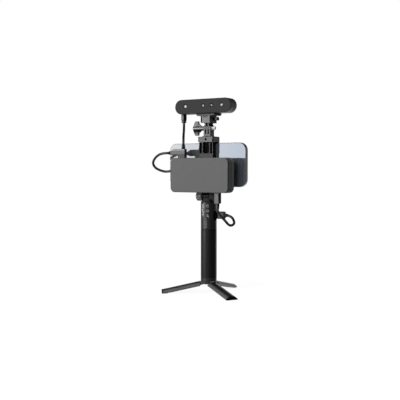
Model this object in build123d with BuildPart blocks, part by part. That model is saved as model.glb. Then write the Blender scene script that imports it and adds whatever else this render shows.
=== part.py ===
"""Hand-held 3-D scanner on a battery handle with a folding tripod, a phone clamp and a wireless unit.

Millimetres. +Z is up, the scanner looks along -Y, and +X is to the right of someone who faces its
lenses. The origin is on the ground, on the axis of the handle.
"""

import os
from math import cos, degrees, pi, radians, sin, tan

from build123d import *

os.makedirs("parts", exist_ok=True)

# Clearances
fit_gap = 0.05  # radial gap of a shaft or of a nested sleeve
seat_gap = 0.1  # gap between faces that are clamped or glued
move_gap = 0.3  # gap beside a piece that moves

# Tripod hub and legs
hub_radius = 14.3
hub_bottom = 17.4
hub_height = 11.8
hub_neck_radius = 13.4
hub_neck_height = 0.6
hinge_radius = 11.4  # distance of a leg hinge from the handle axis
hinge_height = 19.8
leg_angles = {"back": 90, "left": 210, "right": 330}
leg_slope = 12.8  # degrees below level when the leg is spread
leg_reach = 84.0  # from the handle axis to the tip of a spread leg
leg_radius = 14.4  # outside radius, which continues the grip when the legs are folded
leg_half_angle = 53.0
leg_thickness = 8.0
leg_root = 4.6  # hinge to the shoulder of the leg
knuckle_width = 8.2
knuckle_radius = 3.9
leg_pin_radius = 1.25
leg_pin_length = 16.4
leg_skin = 2.0
leg_flank = 3.4  # width of the rim beside the hollow of the underside
rib_count = 3
rib_width = 1.6
foot_cap = 2.4
sole_thickness = 1.5
sole_length = 11.0

# Handle
grip_radius = 14.4
grip_length = 84.9
tube_radius = 12.6
tube_wall = 1.4
tube_spigot = 6.0  # length of the tube inside the control housing
control_radius = 14.3
control_length = 48.6
grip_split = 0.4  # shadow line between grip and control housing
cell_radius = 9.2
cell_length = 65.0
cap_thickness = 1.2
cap_spigot = 2.4
neck_screw_radius = 3.1
neck_screw_head = 5.0
neck_screw_engagement = 5.4

# Controls on the handle
control_angle = -88.0  # direction that the control board faces
key_angle = -67.0
icon_angle = -109.0
gauge_angle = -85.0
board_offset = 5.5
board_thickness = 1.2
board_width = 20.4
key_drop = 6.7  # from the top of the control housing to the middle of the upper key
key_pitch = 8.5
key_width = 5.4
key_height = 5.8
key_corner = 1.3
key_proud = 0.45
key_flange = 0.9
key_flange_lip = 0.9
key_gap = 0.25
icon_width = 4.2
icon_height = 4.6
gauge_bars = 4
gauge_pitch = 3.5
gauge_rise = 13.7  # from the foot of the control housing to the middle of the gauge
gauge_width = 5.2
gauge_height = 1.0
light_seat = 12.25  # distance of the back of a light from the handle axis
switch_size = 3.2
switch_height = 2.4

# Charging socket and plug on the right of the handle
socket_rise = 24.3  # from the foot of the control housing to the middle of the socket
socket_bezel_width = 11.0
socket_bezel_length = 18.0
socket_body_width = 7.6
socket_body_length = 15.0
socket_depth = 11.0
usb_width = 12.0
usb_thickness = 4.5
usb_depth = 10.5
usb_gap = 0.3
handle_plug_length = 18.6
handle_plug_height = 13.3
handle_plug_width = 8.0
relief_length = 5.6
relief_base_radius = 3.5
relief_tip_radius = 2.9
lead_radius = 2.25

# Neck and the tilt joint under the clamp
tilt_rise = 9.1  # from the foot of the neck to the tilt axis
neck_gap = 0.1
neck_base_width = 20.4
neck_base_depth = 18.0
neck_base_height = 1.1
tongue_left = -7.2
tongue_right = 4.1
tongue_radius = 8.0
lug_radius = 7.6
left_lug_width = 3.2
right_lug_width = 10.0
tilt_screw_radius = 2.45
tilt_knob_radius = 8.9
tilt_knob_length = 11.6
tilt_knob_grips = 12
tilt_knob_flute = 1.3
tilt_nut_flats = 8.0
tilt_nut_thickness = 3.6

# Phone clamp
frame_half_width = 14.4
frame_front = -10.0
frame_back = -0.4
body_height = 66.6
floor_rise = 9.3  # from the tilt axis to the underside of the lower jaw
jaw_half_width = 16.0
jaw_front = -12.0
jaw_back = 10.2
jaw_lip = 1.8
lip_length = 6.5
lower_jaw_thickness = 7.0
pad_thickness = 0.5
upper_pad_thickness = 1.7
stem_half_width = 14.2
stem_length = 19.9
stem_plate = 2.6
stem_rib_inner = 5.3
stem_rib_outer = 8.6
stem_wall = 1.4
stem_front = -9.7
slide_bar_width = 8.8
slide_bar_front = -7.2
slide_bar_back = -3.4
slide_bar_length = 44.0
upper_jaw_height = 9.1
jaw_corner = 2.5
jaw_edge = 0.9
jaw_screw_radius = 1.9
jaw_screw_place = 0.6
spring_wire = 0.45
spring_turns = 6
spring_length = 22.0
jaw_screw_depth = 1.6
jaw_screw_lift = 0.5

# Phone
phone_width = 159.4
phone_height = 77.6
phone_thickness = 7.8
phone_centre = -4.6
phone_corner = 13.5
phone_glass = 0.8
phone_bezel = 1.1
phone_front = 0.1
phone_edge = 1.0
phone_key_shift = 52.0
phone_key_length = 11.0
phone_key_width = 2.6
phone_key_proud = 0.35

# Wireless unit in front of the clamp
unit_width = 119.6
unit_height = 61.0
unit_depth = 21.0
unit_front = -34.5
unit_drop = 2.3  # from the underside of the lower jaw to the underside of the unit
unit_corner = 8.5
unit_edge = 1.6
unit_wall = 1.8
unit_split = 10.0  # depth of the front shell
unit_cell_size = (58.0, 40.0, 5.0)
unit_board_size = (104.0, 48.0, 1.4)
bracket_width = 24.0
bracket_height = 34.0

# Tilt joint under the scanner
prong_rise = 15.7  # from the top of the jaw to the head's tilt axis
prong_radius = 6.7
prong_width = 2.8
prong_pitch = 5.5  # from one base prong to the next
prong_flange = 5.2
thumb_screw_radius = 2.45
thumb_wing_radius = 12.9
thumb_wing_width = 5.6
thumb_wing_tip = 6.8  # width of a wing's outer end, along the screw
thumb_wing_edge = 0.9
thumb_wing_corner = 1.8
thumb_nut_flats = 8.0
thumb_nut_thickness = 3.2
thumb_boss_end = 31.3
thumb_boss_radius = 4.4
thumb_cone_start = 20.7
thumb_cone_radius = 5.0
thumb_cone_tip = 3.2
prong_play = 0.1  # gap on each side of a prong of the fork
fork_rise = 8.8  # from the head's tilt axis to the top of the fork

# Quick-release clamp under the scanner
block_half_width = 8.8
block_front = -12.0
block_back = 13.2
block_height = 12.9
cheek_thickness = 1.6
plate_half_width = 19.1
plate_half_depth = 12.3
plate_thickness = 3.6
plate_pad = 0.5
foot_width = 10.0
foot_height = 3.2
plate_knob_radius = 3.3
plate_knob_length = 4.8
plate_collar_radius = 3.0
plate_collar_length = 4.6
plate_screw_radius = 1.5
mount_screw_radius = 3.1
mount_screw_length = 4.2
mount_screw_head = 4.2
mount_head_depth = 2.0
plate_knob_y = 2.0
plate_knob_rise = 7.5  # from the foot of the clamp block
plate_knob_grips = 10

# Scanner head
head_width = 116.8
head_height = 25.9
head_depth = 22.0
head_centre = -7.0
head_wall = 2.0
head_edge = 1.4
head_split = 12.5  # depth of the front shell
lens_places = {"left_camera": -42.8, "projector": -5.4, "colour_camera": 12.2, "right_camera": 32.6}
lens_radius = 3.6
lens_tube_wall = 1.0
lens_tube_length = 9.0
lens_recess = 0.3
head_board_size = (104.0, 16.0, 1.2)
boss_half_width = 6.5
boss_height = 4.6  # from the outside of the head's floor
lens_height = 1.0
glass_thickness = 0.8
head_plug_place = -53.0
head_relief_length = 4.0
head_relief_base = 4.1
head_relief_tip = 3.6
head_plug_width = 7.0
head_plug_depth = 9.6
head_plug_length = 10.3

# Leads, junction and plugs on the wireless unit
relief_groove = 0.5
junction_left = -63.4
junction_right = -33.4
junction_depth = 7.6
junction_height = 12.0
junction_taper = 6.4
junction_step = 4.0
junction_step_left = -47.3
junction_relief = 6.5
junction_ring = 3.75  # radius of a relief where it leaves the junction
top_relief = 8.0
junction_exit_height = 5.1
bend_share = 0.45  # part of a run that a bend takes at each of its ends
unit_port_depth = 4.0
port_width = 9.0
port_height = 3.2
port_gap = 0.3
socket_wall = 0.8
port_socket_depth = 5.6
lower_plug_place = 33.0
lower_plug_depth = 8.8
lower_plug_length = 18.4
lower_relief = 9.4
back_plug_place = -52.0
back_plug_rise = 37.9  # from the underside of the unit
back_plug_width = 12.0
back_plug_tall = 9.0
back_plug_depth = 8.4
back_relief = 7.0
handle_plug_gap = 0.5
handle_plug_lift = 1.4

handle_bow = 21.3  # how far the handle lead bows out beyond its end
handle_sag = 17.3
loop_bow = 41.1  # how far the loop bows out beyond the junction
loop_sag = 1.7
scanner_bends = [(0, 0), (0, 0.13), (0.04, 0.27), (0.22, 0.4)]  # shares of the way across and up
scanner_share = 0.75  # share of its slanted run that moves with the clamp

# Heights and places that follow from the sizes above
hub_top = hub_bottom + hub_height
grip_bottom = hub_top + hub_neck_height
grip_top = grip_bottom + grip_length
control_bottom = grip_top + grip_split
control_top = control_bottom + control_length
handle_top = control_top + cap_thickness
neck_bottom = handle_top + neck_gap
key_heights = {
    "upper": control_top - key_drop,
    "middle": control_top - key_drop - key_pitch,
    "lower": control_top - key_drop - 2 * key_pitch,
}
gauge_centre = control_bottom + gauge_rise
socket_height = control_bottom + socket_rise
tilt_height = neck_bottom + tilt_rise
frame_floor = tilt_height + floor_rise
frame_top = frame_floor + body_height
stem_top = frame_top + stem_length
sleeve_bore = tube_radius + fit_gap
jaw_bottom = stem_top + move_gap
jaw_top = jaw_bottom + upper_jaw_height
head_tilt_height = jaw_top + prong_rise
fork_top = head_tilt_height + fork_rise
block_bottom = fork_top + seat_gap
plate_knob_z = block_bottom + plate_knob_rise
plate_bottom = block_bottom + block_height
plate_top = plate_bottom + plate_thickness
head_bottom = plate_top + plate_pad
head_middle = head_bottom + head_height / 2
head_front = -head_depth / 2
unit_bottom = frame_floor - unit_drop
unit_middle = unit_bottom + unit_height / 2
unit_top = unit_bottom + unit_height
unit_back = unit_front + unit_depth
port_line = unit_front + unit_split
back_plug_height = unit_bottom + back_plug_rise


def radial_plane(angle, height, distance=0.0):
    """Plane that faces outwards from the handle axis: x is level, y is up."""
    outward = Vector(cos(radians(angle)), sin(radians(angle)), 0)
    return Plane(
        origin=outward * distance + Vector(0, 0, height),
        x_dir=(-outward.Y, outward.X, 0),
        z_dir=outward,
    )


def leg_plane(angle, along=0.0):
    """Plane across a spread leg: x is level, y is up out of the leg, z runs to the tip."""
    slope = radians(leg_slope)
    outward = Vector(cos(radians(angle)), sin(radians(angle)), 0)
    down_leg = outward * cos(slope) - Vector(0, 0, sin(slope))
    hinge = outward * hinge_radius + Vector(0, 0, hinge_height)
    return Plane(origin=hinge + down_leg * along, x_dir=(-outward.Y, outward.X, 0), z_dir=down_leg)


def hinge_plane(angle, offset=0.0):
    """Plane square to a leg's hinge pin: x is outwards, y is down."""
    outward = Vector(cos(radians(angle)), sin(radians(angle)), 0)
    along_pin = Vector(-outward.Y, outward.X, 0)
    origin = outward * hinge_radius + Vector(0, 0, hinge_height) + along_pin * offset
    return Plane(origin=origin, x_dir=outward, z_dir=along_pin)


# Hub: a short drum with three slots for the leg knuckles and a spigot that centres the tube
spigot_radius = tube_radius - tube_wall - fit_gap
spigot_height = 3.6
slot_inner = hinge_radius - knuckle_radius - 0.9
slot_top = hinge_height + knuckle_radius + 0.5
with BuildPart() as hub:
    with BuildSketch(Plane.XZ):
        with BuildLine():
            Polyline(
                (0, hub_bottom),
                (hub_radius, hub_bottom),
                (hub_radius, hub_top),
                (hub_neck_radius, hub_top),
                (hub_neck_radius, grip_bottom),
                (spigot_radius, grip_bottom),
                (spigot_radius, grip_bottom + spigot_height),
                (0, grip_bottom + spigot_height),
                close=True,
            )
        make_face()
    revolve(axis=Axis.Z)
    rim = hub.edges().filter_by(GeomType.CIRCLE).filter_by(lambda e: abs(e.radius - hub_radius) < 0.01)
    chamfer(rim, 0.55)
    for angle in leg_angles.values():
        with BuildSketch(hinge_plane(angle, -knuckle_width / 2 - move_gap)):
            with BuildLine():
                left = slot_inner - hinge_radius
                right = hub_radius - hinge_radius + 2
                top = hinge_height - slot_top
                bottom = hinge_height - hub_bottom + 2
                Polyline((left, top), (right, top), (right, bottom), (left, bottom), close=True)
            make_face()
        extrude(amount=knuckle_width + 2 * move_gap, mode=Mode.SUBTRACT)
        with BuildSketch(hinge_plane(angle, -leg_pin_length / 2 - seat_gap)):
            Circle(leg_pin_radius + fit_gap)
        extrude(amount=leg_pin_length + 2 * seat_gap, mode=Mode.SUBTRACT)
hub.part.label = "hub"
export_step(hub.part, "parts/hub.step")

# Hinge pins of the three legs
with BuildPart() as leg_pins:
    for angle in leg_angles.values():
        with BuildSketch(hinge_plane(angle, -leg_pin_length / 2)):
            Circle(leg_pin_radius)
        extrude(amount=leg_pin_length)
leg_pins.part.label = "leg_pins"
export_step(leg_pins.part, "parts/leg_pins.step")


def leg_section(grow=0.0):
    """Face of a leg across its length: the arc continues the grip, the flanks are radial."""
    inner = -hinge_radius + leg_radius - leg_thickness - grow
    half = radians(leg_half_angle)
    arc_x = leg_radius * sin(half)
    arc_y = leg_radius * cos(half) - hinge_radius
    flat_x = (inner + hinge_radius) * tan(half)
    with BuildSketch() as section:
        with BuildLine():
            ThreePointArc((arc_x, arc_y), (0, leg_radius - hinge_radius), (-arc_x, arc_y))
            Polyline((-arc_x, arc_y), (-flat_x, inner), (flat_x, inner), (arc_x, arc_y))
        make_face()
    return section.sketch


# Legs: one third of a cylinder each, hollow below, with a knuckle on the hinge pin
leg_length = (leg_reach - hinge_radius) / cos(radians(leg_slope))
body_end = leg_length - foot_cap - seat_gap
pocket_start = leg_root + 5.0
pocket_end = leg_length - sole_length - 4.0
pocket_step = (pocket_end - pocket_start + rib_width) / rib_count
for side, angle in leg_angles.items():
    with BuildPart() as leg:
        with BuildSketch(leg_plane(angle, leg_root)):
            add(leg_section())
        extrude(amount=body_end - leg_root)
        with BuildSketch(leg_plane(angle)):
            with BuildLine():
                reach = leg_radius - hinge_radius
                half = knuckle_width / 2
                Polyline(
                    (-half, -knuckle_radius), (half, -knuckle_radius), (half, reach - 0.4),
                    (-half, reach - 0.4), close=True,
                )
            make_face()
        extrude(amount=leg_root + 1.0)
        with BuildSketch(hinge_plane(angle, -knuckle_width / 2)):
            Circle(knuckle_radius)
        extrude(amount=knuckle_width)
        with BuildSketch(hinge_plane(angle, -knuckle_width / 2 - 1)):
            Circle(leg_pin_radius + fit_gap)
        extrude(amount=knuckle_width + 2, mode=Mode.SUBTRACT)
        for pocket in range(rib_count):
            start = pocket_start + pocket * pocket_step
            with BuildSketch(leg_plane(angle, start)):
                with Locations((0, -hinge_radius)):
                    Circle(leg_radius - leg_skin)
                flank = leg_radius * sin(radians(leg_half_angle)) - leg_flank
                with Locations((0, -hinge_radius)):
                    Rectangle(2 * flank, 2 * leg_radius, mode=Mode.INTERSECT)
            extrude(amount=pocket_step - rib_width, mode=Mode.SUBTRACT)
        with BuildSketch(Plane.XY.offset(sole_thickness + seat_gap)):
            Circle(leg_reach * 1.2)
        extrude(amount=-leg_reach, mode=Mode.SUBTRACT)
    leg.part.label = f"leg_{side}"
    export_step(leg.part, f"parts/leg_{side}.step")

    with BuildPart() as foot:
        with BuildSketch(leg_plane(angle, leg_length - sole_length)):
            add(leg_section())
        extrude(amount=sole_length)
        with BuildSketch(Plane.XY):
            Circle(leg_reach * 1.2)
        extrude(amount=-leg_reach, mode=Mode.SUBTRACT)
        with BuildSketch(leg_plane(angle, leg_length - sole_length - 1)):
            add(leg_section(1.0))
        body_part = extrude(amount=sole_length - foot_cap + 1, mode=Mode.PRIVATE)
        above_sole = Pos(0, 0, sole_thickness) * Cylinder(
            leg_reach * 1.2, leg_reach, align=(Align.CENTER, Align.CENTER, Align.MIN), mode=Mode.PRIVATE
        )
        add(body_part & above_sole, mode=Mode.SUBTRACT)
    foot.part.label = f"foot_{side}"
    export_step(foot.part, f"parts/foot_{side}.step")

# Inner tube of the handle, which carries the hub, the grip and the control housing
with BuildPart() as handle_tube:
    with BuildSketch(Plane.XY.offset(grip_bottom)):
        Circle(tube_radius)
        Circle(tube_radius - tube_wall, mode=Mode.SUBTRACT)
    extrude(amount=grip_length + grip_split + tube_spigot)
handle_tube.part.label = "handle_tube"
export_step(handle_tube.part, "parts/handle_tube.step")

# Grip sleeve over the tube
with BuildPart() as grip_sleeve:
    with BuildSketch(Plane.XY.offset(grip_bottom)):
        Circle(grip_radius)
        Circle(sleeve_bore, mode=Mode.SUBTRACT)
    extrude(amount=grip_length)
    ends = grip_sleeve.edges().filter_by(GeomType.CIRCLE)
    chamfer(ends.filter_by(lambda e: abs(e.radius - grip_radius) < 0.01), 0.35)
grip_sleeve.part.label = "grip_sleeve"
export_step(grip_sleeve.part, "parts/grip_sleeve.step")

# Battery cell: a can with its raised contact, standing on the hub's spigot
cell_bottom = grip_bottom + spigot_height + seat_gap
contact_height = 1.2
with BuildPart() as battery_cell:
    with BuildSketch(Plane.XY.offset(cell_bottom)):
        Circle(cell_radius)
    extrude(amount=cell_length - contact_height)
    fillet(battery_cell.edges().filter_by(GeomType.CIRCLE), 0.8)
    with BuildSketch(Plane.XY.offset(cell_bottom + cell_length - contact_height)):
        Circle(cell_radius * 0.35)
    extrude(amount=contact_height)
battery_cell.part.label = "battery_cell"
export_step(battery_cell.part, "parts/battery_cell.step")


def key_plane(height, distance=0.0):
    """Plane of a push key, facing out of the handle."""
    return radial_plane(key_angle, height, distance)


# Control housing: a tube with windows for the keys, the icons, the gauge and the socket
key_seat = sleeve_bore - key_flange - 0.55  # distance of the flange's inner face from the axis
with BuildPart() as control_housing:
    with BuildSketch(Plane.XY.offset(control_bottom)):
        Circle(control_radius)
        Circle(sleeve_bore, mode=Mode.SUBTRACT)
    extrude(amount=control_length)
    ends = control_housing.edges().filter_by(GeomType.CIRCLE)
    chamfer(ends.filter_by(lambda e: abs(e.radius - control_radius) < 0.01), 0.3)
    for height in key_heights.values():
        with BuildSketch(key_plane(height, tube_radius - tube_wall)):
            RectangleRounded(key_width + 2 * key_gap, key_height + 2 * key_gap, key_corner + key_gap)
        extrude(amount=6, mode=Mode.SUBTRACT)
        with BuildSketch(radial_plane(icon_angle, height, tube_radius - tube_wall)):
            RectangleRounded(icon_width + 2 * fit_gap, icon_height + 2 * fit_gap, key_corner)
        extrude(amount=6, mode=Mode.SUBTRACT)
    with BuildSketch(radial_plane(gauge_angle, gauge_centre, tube_radius - tube_wall)):
        with GridLocations(0, gauge_pitch, 1, gauge_bars):
            Rectangle(gauge_width + 2 * fit_gap, gauge_height + 2 * fit_gap)
    extrude(amount=6, mode=Mode.SUBTRACT)
    with BuildSketch(radial_plane(0, socket_height, tube_radius - tube_wall)):
        SlotOverall(
            socket_bezel_length + 2 * fit_gap, socket_bezel_width + 2 * fit_gap, rotation=90
        )
    extrude(amount=6, mode=Mode.SUBTRACT)
control_housing.part.label = "control_housing"
export_step(control_housing.part, "parts/control_housing.step")

# Push keys: each has a curved cap that stands proud and a flange that holds it in
for name, height in key_heights.items():
    with BuildPart() as key:
        with BuildSketch(key_plane(height, key_seat)):
            RectangleRounded(key_width, key_height, key_corner)
        extrude(amount=control_radius)
        with BuildSketch(Plane.XY.offset(height)):
            Circle(control_radius + key_proud)
        extrude(amount=key_height, both=True, mode=Mode.INTERSECT)
        cap_edges = key.faces().filter_by(GeomType.CYLINDER).sort_by(Axis.Z)
        outer = [f for f in cap_edges if abs(f.radius - control_radius - key_proud) < 0.01]
        fillet(outer[0].edges(), 0.3)
        with BuildSketch(key_plane(height, key_seat)):
            RectangleRounded(key_width + 2 * key_flange_lip, key_height + 2 * key_flange_lip, key_corner)
        extrude(amount=key_flange)
    key.part.label = f"key_{name}"
    export_step(key.part, f"parts/key_{name}.step")

# Lit icons beside the keys and the bars of the charge gauge, let into the control housing
with BuildPart() as indicator_lights:
    for height in key_heights.values():
        with BuildSketch(radial_plane(icon_angle, height, light_seat)):
            RectangleRounded(icon_width, icon_height, key_corner)
        extrude(amount=control_radius - light_seat)
    with BuildSketch(radial_plane(gauge_angle, gauge_centre, light_seat)):
        with GridLocations(0, gauge_pitch, 1, gauge_bars):
            Rectangle(gauge_width, gauge_height)
    extrude(amount=control_radius - light_seat)
    with BuildSketch(Plane.XY.offset(control_bottom)):
        Circle(control_radius - fit_gap)
    extrude(amount=control_length, mode=Mode.INTERSECT)
indicator_lights.part.label = "indicator_lights"
export_step(indicator_lights.part, "parts/indicator_lights.step")

# Control board with a switch behind each key
board_height = control_length - tube_spigot - cap_spigot - 2 * seat_gap
board_middle = control_top - cap_spigot - seat_gap - board_height / 2
switch_shift = (board_offset + board_thickness) * tan(radians(key_angle - control_angle))
with BuildPart() as control_board:
    with BuildSketch(radial_plane(control_angle, board_middle, board_offset)):
        RectangleRounded(board_width, board_height, 1.0)
    extrude(amount=board_thickness)
    for height in key_heights.values():
        with BuildSketch(radial_plane(control_angle, height, board_offset + board_thickness)):
            with Locations((switch_shift, 0)):
                Rectangle(switch_size, switch_size)
        extrude(amount=switch_height)
control_board.part.label = "control_board"
export_step(control_board.part, "parts/control_board.step")

# Socket insert in the right side of the handle
side_plane = radial_plane(0, socket_height)
with BuildPart() as side_socket:
    with BuildSketch(side_plane.offset(control_radius - socket_depth)):
        Rectangle(socket_body_width, socket_body_length)
    extrude(amount=socket_depth - 2)
    with BuildSketch(side_plane.offset(sleeve_bore - 1.2)):
        SlotOverall(socket_bezel_length, socket_bezel_width, rotation=90)
    extrude(amount=5)
    with BuildSketch(Plane.XY.offset(socket_height)):
        Circle(control_radius - fit_gap)
    extrude(amount=socket_bezel_length, both=True, mode=Mode.INTERSECT)
    with BuildSketch(side_plane.offset(control_radius - socket_depth + 1)):
        Rectangle(usb_thickness + 2 * usb_gap, usb_width + 2 * usb_gap)
    extrude(amount=socket_depth + 2, mode=Mode.SUBTRACT)
side_socket.part.label = "side_socket"
export_step(side_socket.part, "parts/side_socket.step")

# Top cap of the handle and the screw that holds the neck on it
with BuildPart() as handle_cap:
    with BuildSketch(Plane.XY.offset(control_top - cap_spigot)):
        Circle(sleeve_bore - fit_gap)
    extrude(amount=cap_spigot)
    with BuildSketch(Plane.XY.offset(control_top)):
        Circle(control_radius - 0.1)
    extrude(amount=cap_thickness)
    chamfer(handle_cap.faces().sort_by(Axis.Z)[-1].edges(), 0.4)
    with BuildSketch(Plane.XY.offset(control_top - cap_spigot)):
        Circle(neck_screw_radius + fit_gap)
    extrude(amount=cap_spigot + cap_thickness, mode=Mode.SUBTRACT)
    with BuildSketch(Plane.XY.offset(control_top - cap_spigot)):
        Circle(neck_screw_head + move_gap)
    extrude(amount=cap_spigot - 1.4, mode=Mode.SUBTRACT)
handle_cap.part.label = "handle_cap"
export_step(handle_cap.part, "parts/handle_cap.step")

screw_head_top = control_top - 1.4 - seat_gap
with BuildPart() as neck_screw:
    with BuildSketch(Plane.XY.offset(screw_head_top - 2.4)):
        Circle(neck_screw_head)
        RegularPolygon(2.2, 6, mode=Mode.SUBTRACT)
    extrude(amount=2.4)
    with BuildSketch(Plane.XY.offset(screw_head_top - 1.0)):
        Circle(neck_screw_radius)
    extrude(amount=neck_bottom + neck_screw_engagement - screw_head_top + 1.0)
    chamfer(neck_screw.faces().sort_by(Axis.Z)[-1].edges(), 0.5)
neck_screw.part.label = "neck_screw"
export_step(neck_screw.part, "parts/neck_screw.step")

# Neck: a base plate on the cap with the tongue of the tilt joint
tilt_plane = Plane.YZ.offset(tongue_left)
with BuildPart() as neck:
    with BuildSketch(Plane.XY.offset(neck_bottom)):
        RectangleRounded(neck_base_width, neck_base_depth, 3)
    extrude(amount=neck_base_height)
    with BuildSketch(tilt_plane):
        with Locations((0, tilt_height)):
            Circle(tongue_radius)
        with Locations((0, (tilt_height + neck_bottom) / 2)):
            Rectangle(2 * tongue_radius - 1.6, tilt_height - neck_bottom)
    extrude(amount=tongue_right - tongue_left)
    with BuildSketch(tilt_plane):
        with Locations((0, tilt_height)):
            Circle(tilt_screw_radius + fit_gap)
    extrude(amount=tongue_right - tongue_left, mode=Mode.SUBTRACT)
    with BuildSketch(Plane.XY.offset(neck_bottom)):
        Circle(neck_screw_radius + fit_gap)
    extrude(amount=neck_screw_engagement + seat_gap, mode=Mode.SUBTRACT)
neck.part.label = "neck"
export_step(neck.part, "parts/neck.step")

# Tilt screw, its fluted knob on the left and its nut in the right lug
left_lug_outer = tongue_left - move_gap - left_lug_width
right_lug_inner = tongue_right + move_gap
right_lug_outer = right_lug_inner + right_lug_width
knob_face = left_lug_outer - move_gap
nut_pocket = right_lug_outer - tilt_nut_thickness
screw_end = right_lug_outer - 0.5
with BuildPart() as tilt_knob:
    with BuildSketch(Plane.YZ.offset(knob_face)):
        with Locations((0, tilt_height)):
            Circle(tilt_knob_radius)
    extrude(amount=-tilt_knob_length)
    chamfer(tilt_knob.faces().sort_by(Axis.X)[0].edges(), 0.8)
    with BuildSketch(Plane.YZ.offset(knob_face)):
        with Locations((0, tilt_height)):
            with PolarLocations(tilt_knob_radius + tilt_knob_flute * 0.45, tilt_knob_grips):
                Circle(tilt_knob_flute)
    extrude(amount=-tilt_knob_length, mode=Mode.SUBTRACT)
    with BuildSketch(Plane.YZ.offset(knob_face - 1)):
        with Locations((0, tilt_height)):
            Circle(tilt_screw_radius)
    extrude(amount=screw_end - knob_face + 1)
tilt_knob.part.label = "tilt_knob"
export_step(tilt_knob.part, "parts/tilt_knob.step")

with BuildPart() as tilt_nut:
    with BuildSketch(Plane.YZ.offset(nut_pocket)):
        with Locations((0, tilt_height)):
            RegularPolygon(tilt_nut_flats / 2, 6, major_radius=False)
            Circle(tilt_screw_radius + fit_gap, mode=Mode.SUBTRACT)
    extrude(amount=tilt_nut_thickness - seat_gap)
tilt_nut.part.label = "tilt_nut"
export_step(tilt_nut.part, "parts/tilt_nut.step")

# Clamp frame: lower jaw, body, stem and the two lugs of the tilt joint in one moulding
frame_depth = frame_back - frame_front
channel_half = slide_bar_width / 2 + move_gap
channel_bottom = jaw_bottom - slide_bar_length - spring_length
lug_edges = ((-tongue_left + move_gap, left_lug_width), (-right_lug_outer, right_lug_width))
with BuildPart() as clamp_frame:
    with BuildSketch(Plane.XY.offset(frame_floor)):
        with Locations((0, (frame_front + frame_back) / 2)):
            Rectangle(2 * frame_half_width, frame_depth)
    extrude(amount=body_height)
    fillet(clamp_frame.edges().filter_by(Axis.Z).group_by(Axis.Y)[0], 2.0)
    with BuildSketch(Plane.YZ.offset(-jaw_half_width)):
        with BuildLine():
            Polyline(
                (frame_front, frame_floor),
                (jaw_back, frame_floor),
                (jaw_back, frame_floor + lower_jaw_thickness + lip_length),
                (jaw_back - jaw_lip, frame_floor + lower_jaw_thickness + lip_length),
                (jaw_back - jaw_lip, frame_floor + lower_jaw_thickness),
                (frame_front, frame_floor + lower_jaw_thickness),
                close=True,
            )
        make_face()
        fillet(vertices().group_by(Axis.Y)[-1], jaw_lip * 0.45)
        fillet(vertices().group_by(Axis.Y)[0], 2.2)
    extrude(amount=2 * jaw_half_width)
    with BuildSketch(Plane.XY.offset(frame_top)):
        with Locations((0, (stem_front + frame_back) / 2)):
            Rectangle(2 * stem_half_width, frame_back - stem_front)
        with Locations((0, (stem_front + frame_back - stem_plate) / 2)):
            Rectangle(
                2 * (stem_half_width - stem_wall), frame_back - stem_plate - stem_front,
                mode=Mode.SUBTRACT,
            )
        rib_depth = frame_back - stem_plate / 2 - stem_front
        with Locations((0, (stem_front + frame_back - stem_plate / 2) / 2)):
            with GridLocations(stem_rib_inner + stem_rib_outer, 0, 2, 1):
                Rectangle(stem_rib_outer - stem_rib_inner, rib_depth)
    extrude(amount=stem_top - frame_top)
    with BuildSketch(Plane.XY.offset(channel_bottom)):
        with Locations((0, (slide_bar_front + slide_bar_back) / 2)):
            Rectangle(2 * channel_half, slide_bar_back - slide_bar_front + 2 * move_gap)
    extrude(amount=frame_top - channel_bottom, mode=Mode.SUBTRACT)
    for inner, width in lug_edges:
        with BuildSketch(Plane.YZ.offset(-inner)):
            with Locations((0, tilt_height)):
                Circle(lug_radius)
            with Locations((0, (tilt_height + frame_floor) / 2 + 0.5)):
                Rectangle(2 * lug_radius, frame_floor - tilt_height + 1)
        extrude(amount=-width)
    with BuildSketch(Plane.YZ.offset(-jaw_half_width)):
        with Locations((0, tilt_height)):
            Circle(tilt_screw_radius + fit_gap)
    extrude(amount=2 * jaw_half_width, mode=Mode.SUBTRACT)
    with BuildSketch(Plane.YZ.offset(nut_pocket)):
        with Locations((0, tilt_height)):
            RegularPolygon(tilt_nut_flats / 2 + fit_gap, 6, major_radius=False)
    extrude(amount=tilt_nut_thickness + 1, mode=Mode.SUBTRACT)
clamp_frame.part.label = "clamp_frame"
export_step(clamp_frame.part, "parts/clamp_frame.step")

# Pads of the two jaws
phone_bottom = frame_floor + lower_jaw_thickness + pad_thickness
pad_front = phone_front - 0.2
pad_depth = jaw_back - jaw_lip - pad_front
with BuildPart() as lower_jaw_pad:
    with BuildSketch(Plane.XY.offset(phone_bottom - pad_thickness)):
        with Locations((0, pad_front + pad_depth / 2)):
            RectangleRounded(2 * (jaw_half_width - 1), pad_depth - 0.2, 1.2)
    extrude(amount=pad_thickness)
lower_jaw_pad.part.label = "lower_jaw_pad"
export_step(lower_jaw_pad.part, "parts/lower_jaw_pad.step")

# Upper jaw with its lip, and the bar that slides in the frame
with BuildPart() as upper_jaw:
    with BuildSketch(Plane.YZ.offset(-jaw_half_width)):
        with BuildLine():
            Polyline(
                (jaw_front, jaw_bottom),
                (jaw_front, jaw_top),
                (jaw_back, jaw_top),
                (jaw_back, jaw_bottom - lip_length),
                (jaw_back - jaw_lip, jaw_bottom - lip_length),
                (jaw_back - jaw_lip, jaw_bottom),
                close=True,
            )
        make_face()
        fillet(vertices().group_by(Axis.Y)[0], jaw_lip * 0.45)
    extrude(amount=2 * jaw_half_width)
    fillet(upper_jaw.faces().sort_by(Axis.Y)[0].edges().filter_by(Axis.Z), jaw_corner)
    fillet(upper_jaw.faces().sort_by(Axis.Z)[-1].edges(), jaw_edge)
    with BuildSketch(Plane.XZ.offset(-jaw_front)):
        with Locations((jaw_screw_place, (jaw_bottom + jaw_top) / 2 + jaw_screw_lift)):
            Circle(jaw_screw_radius)
    extrude(amount=-jaw_screw_depth, mode=Mode.SUBTRACT)
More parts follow.
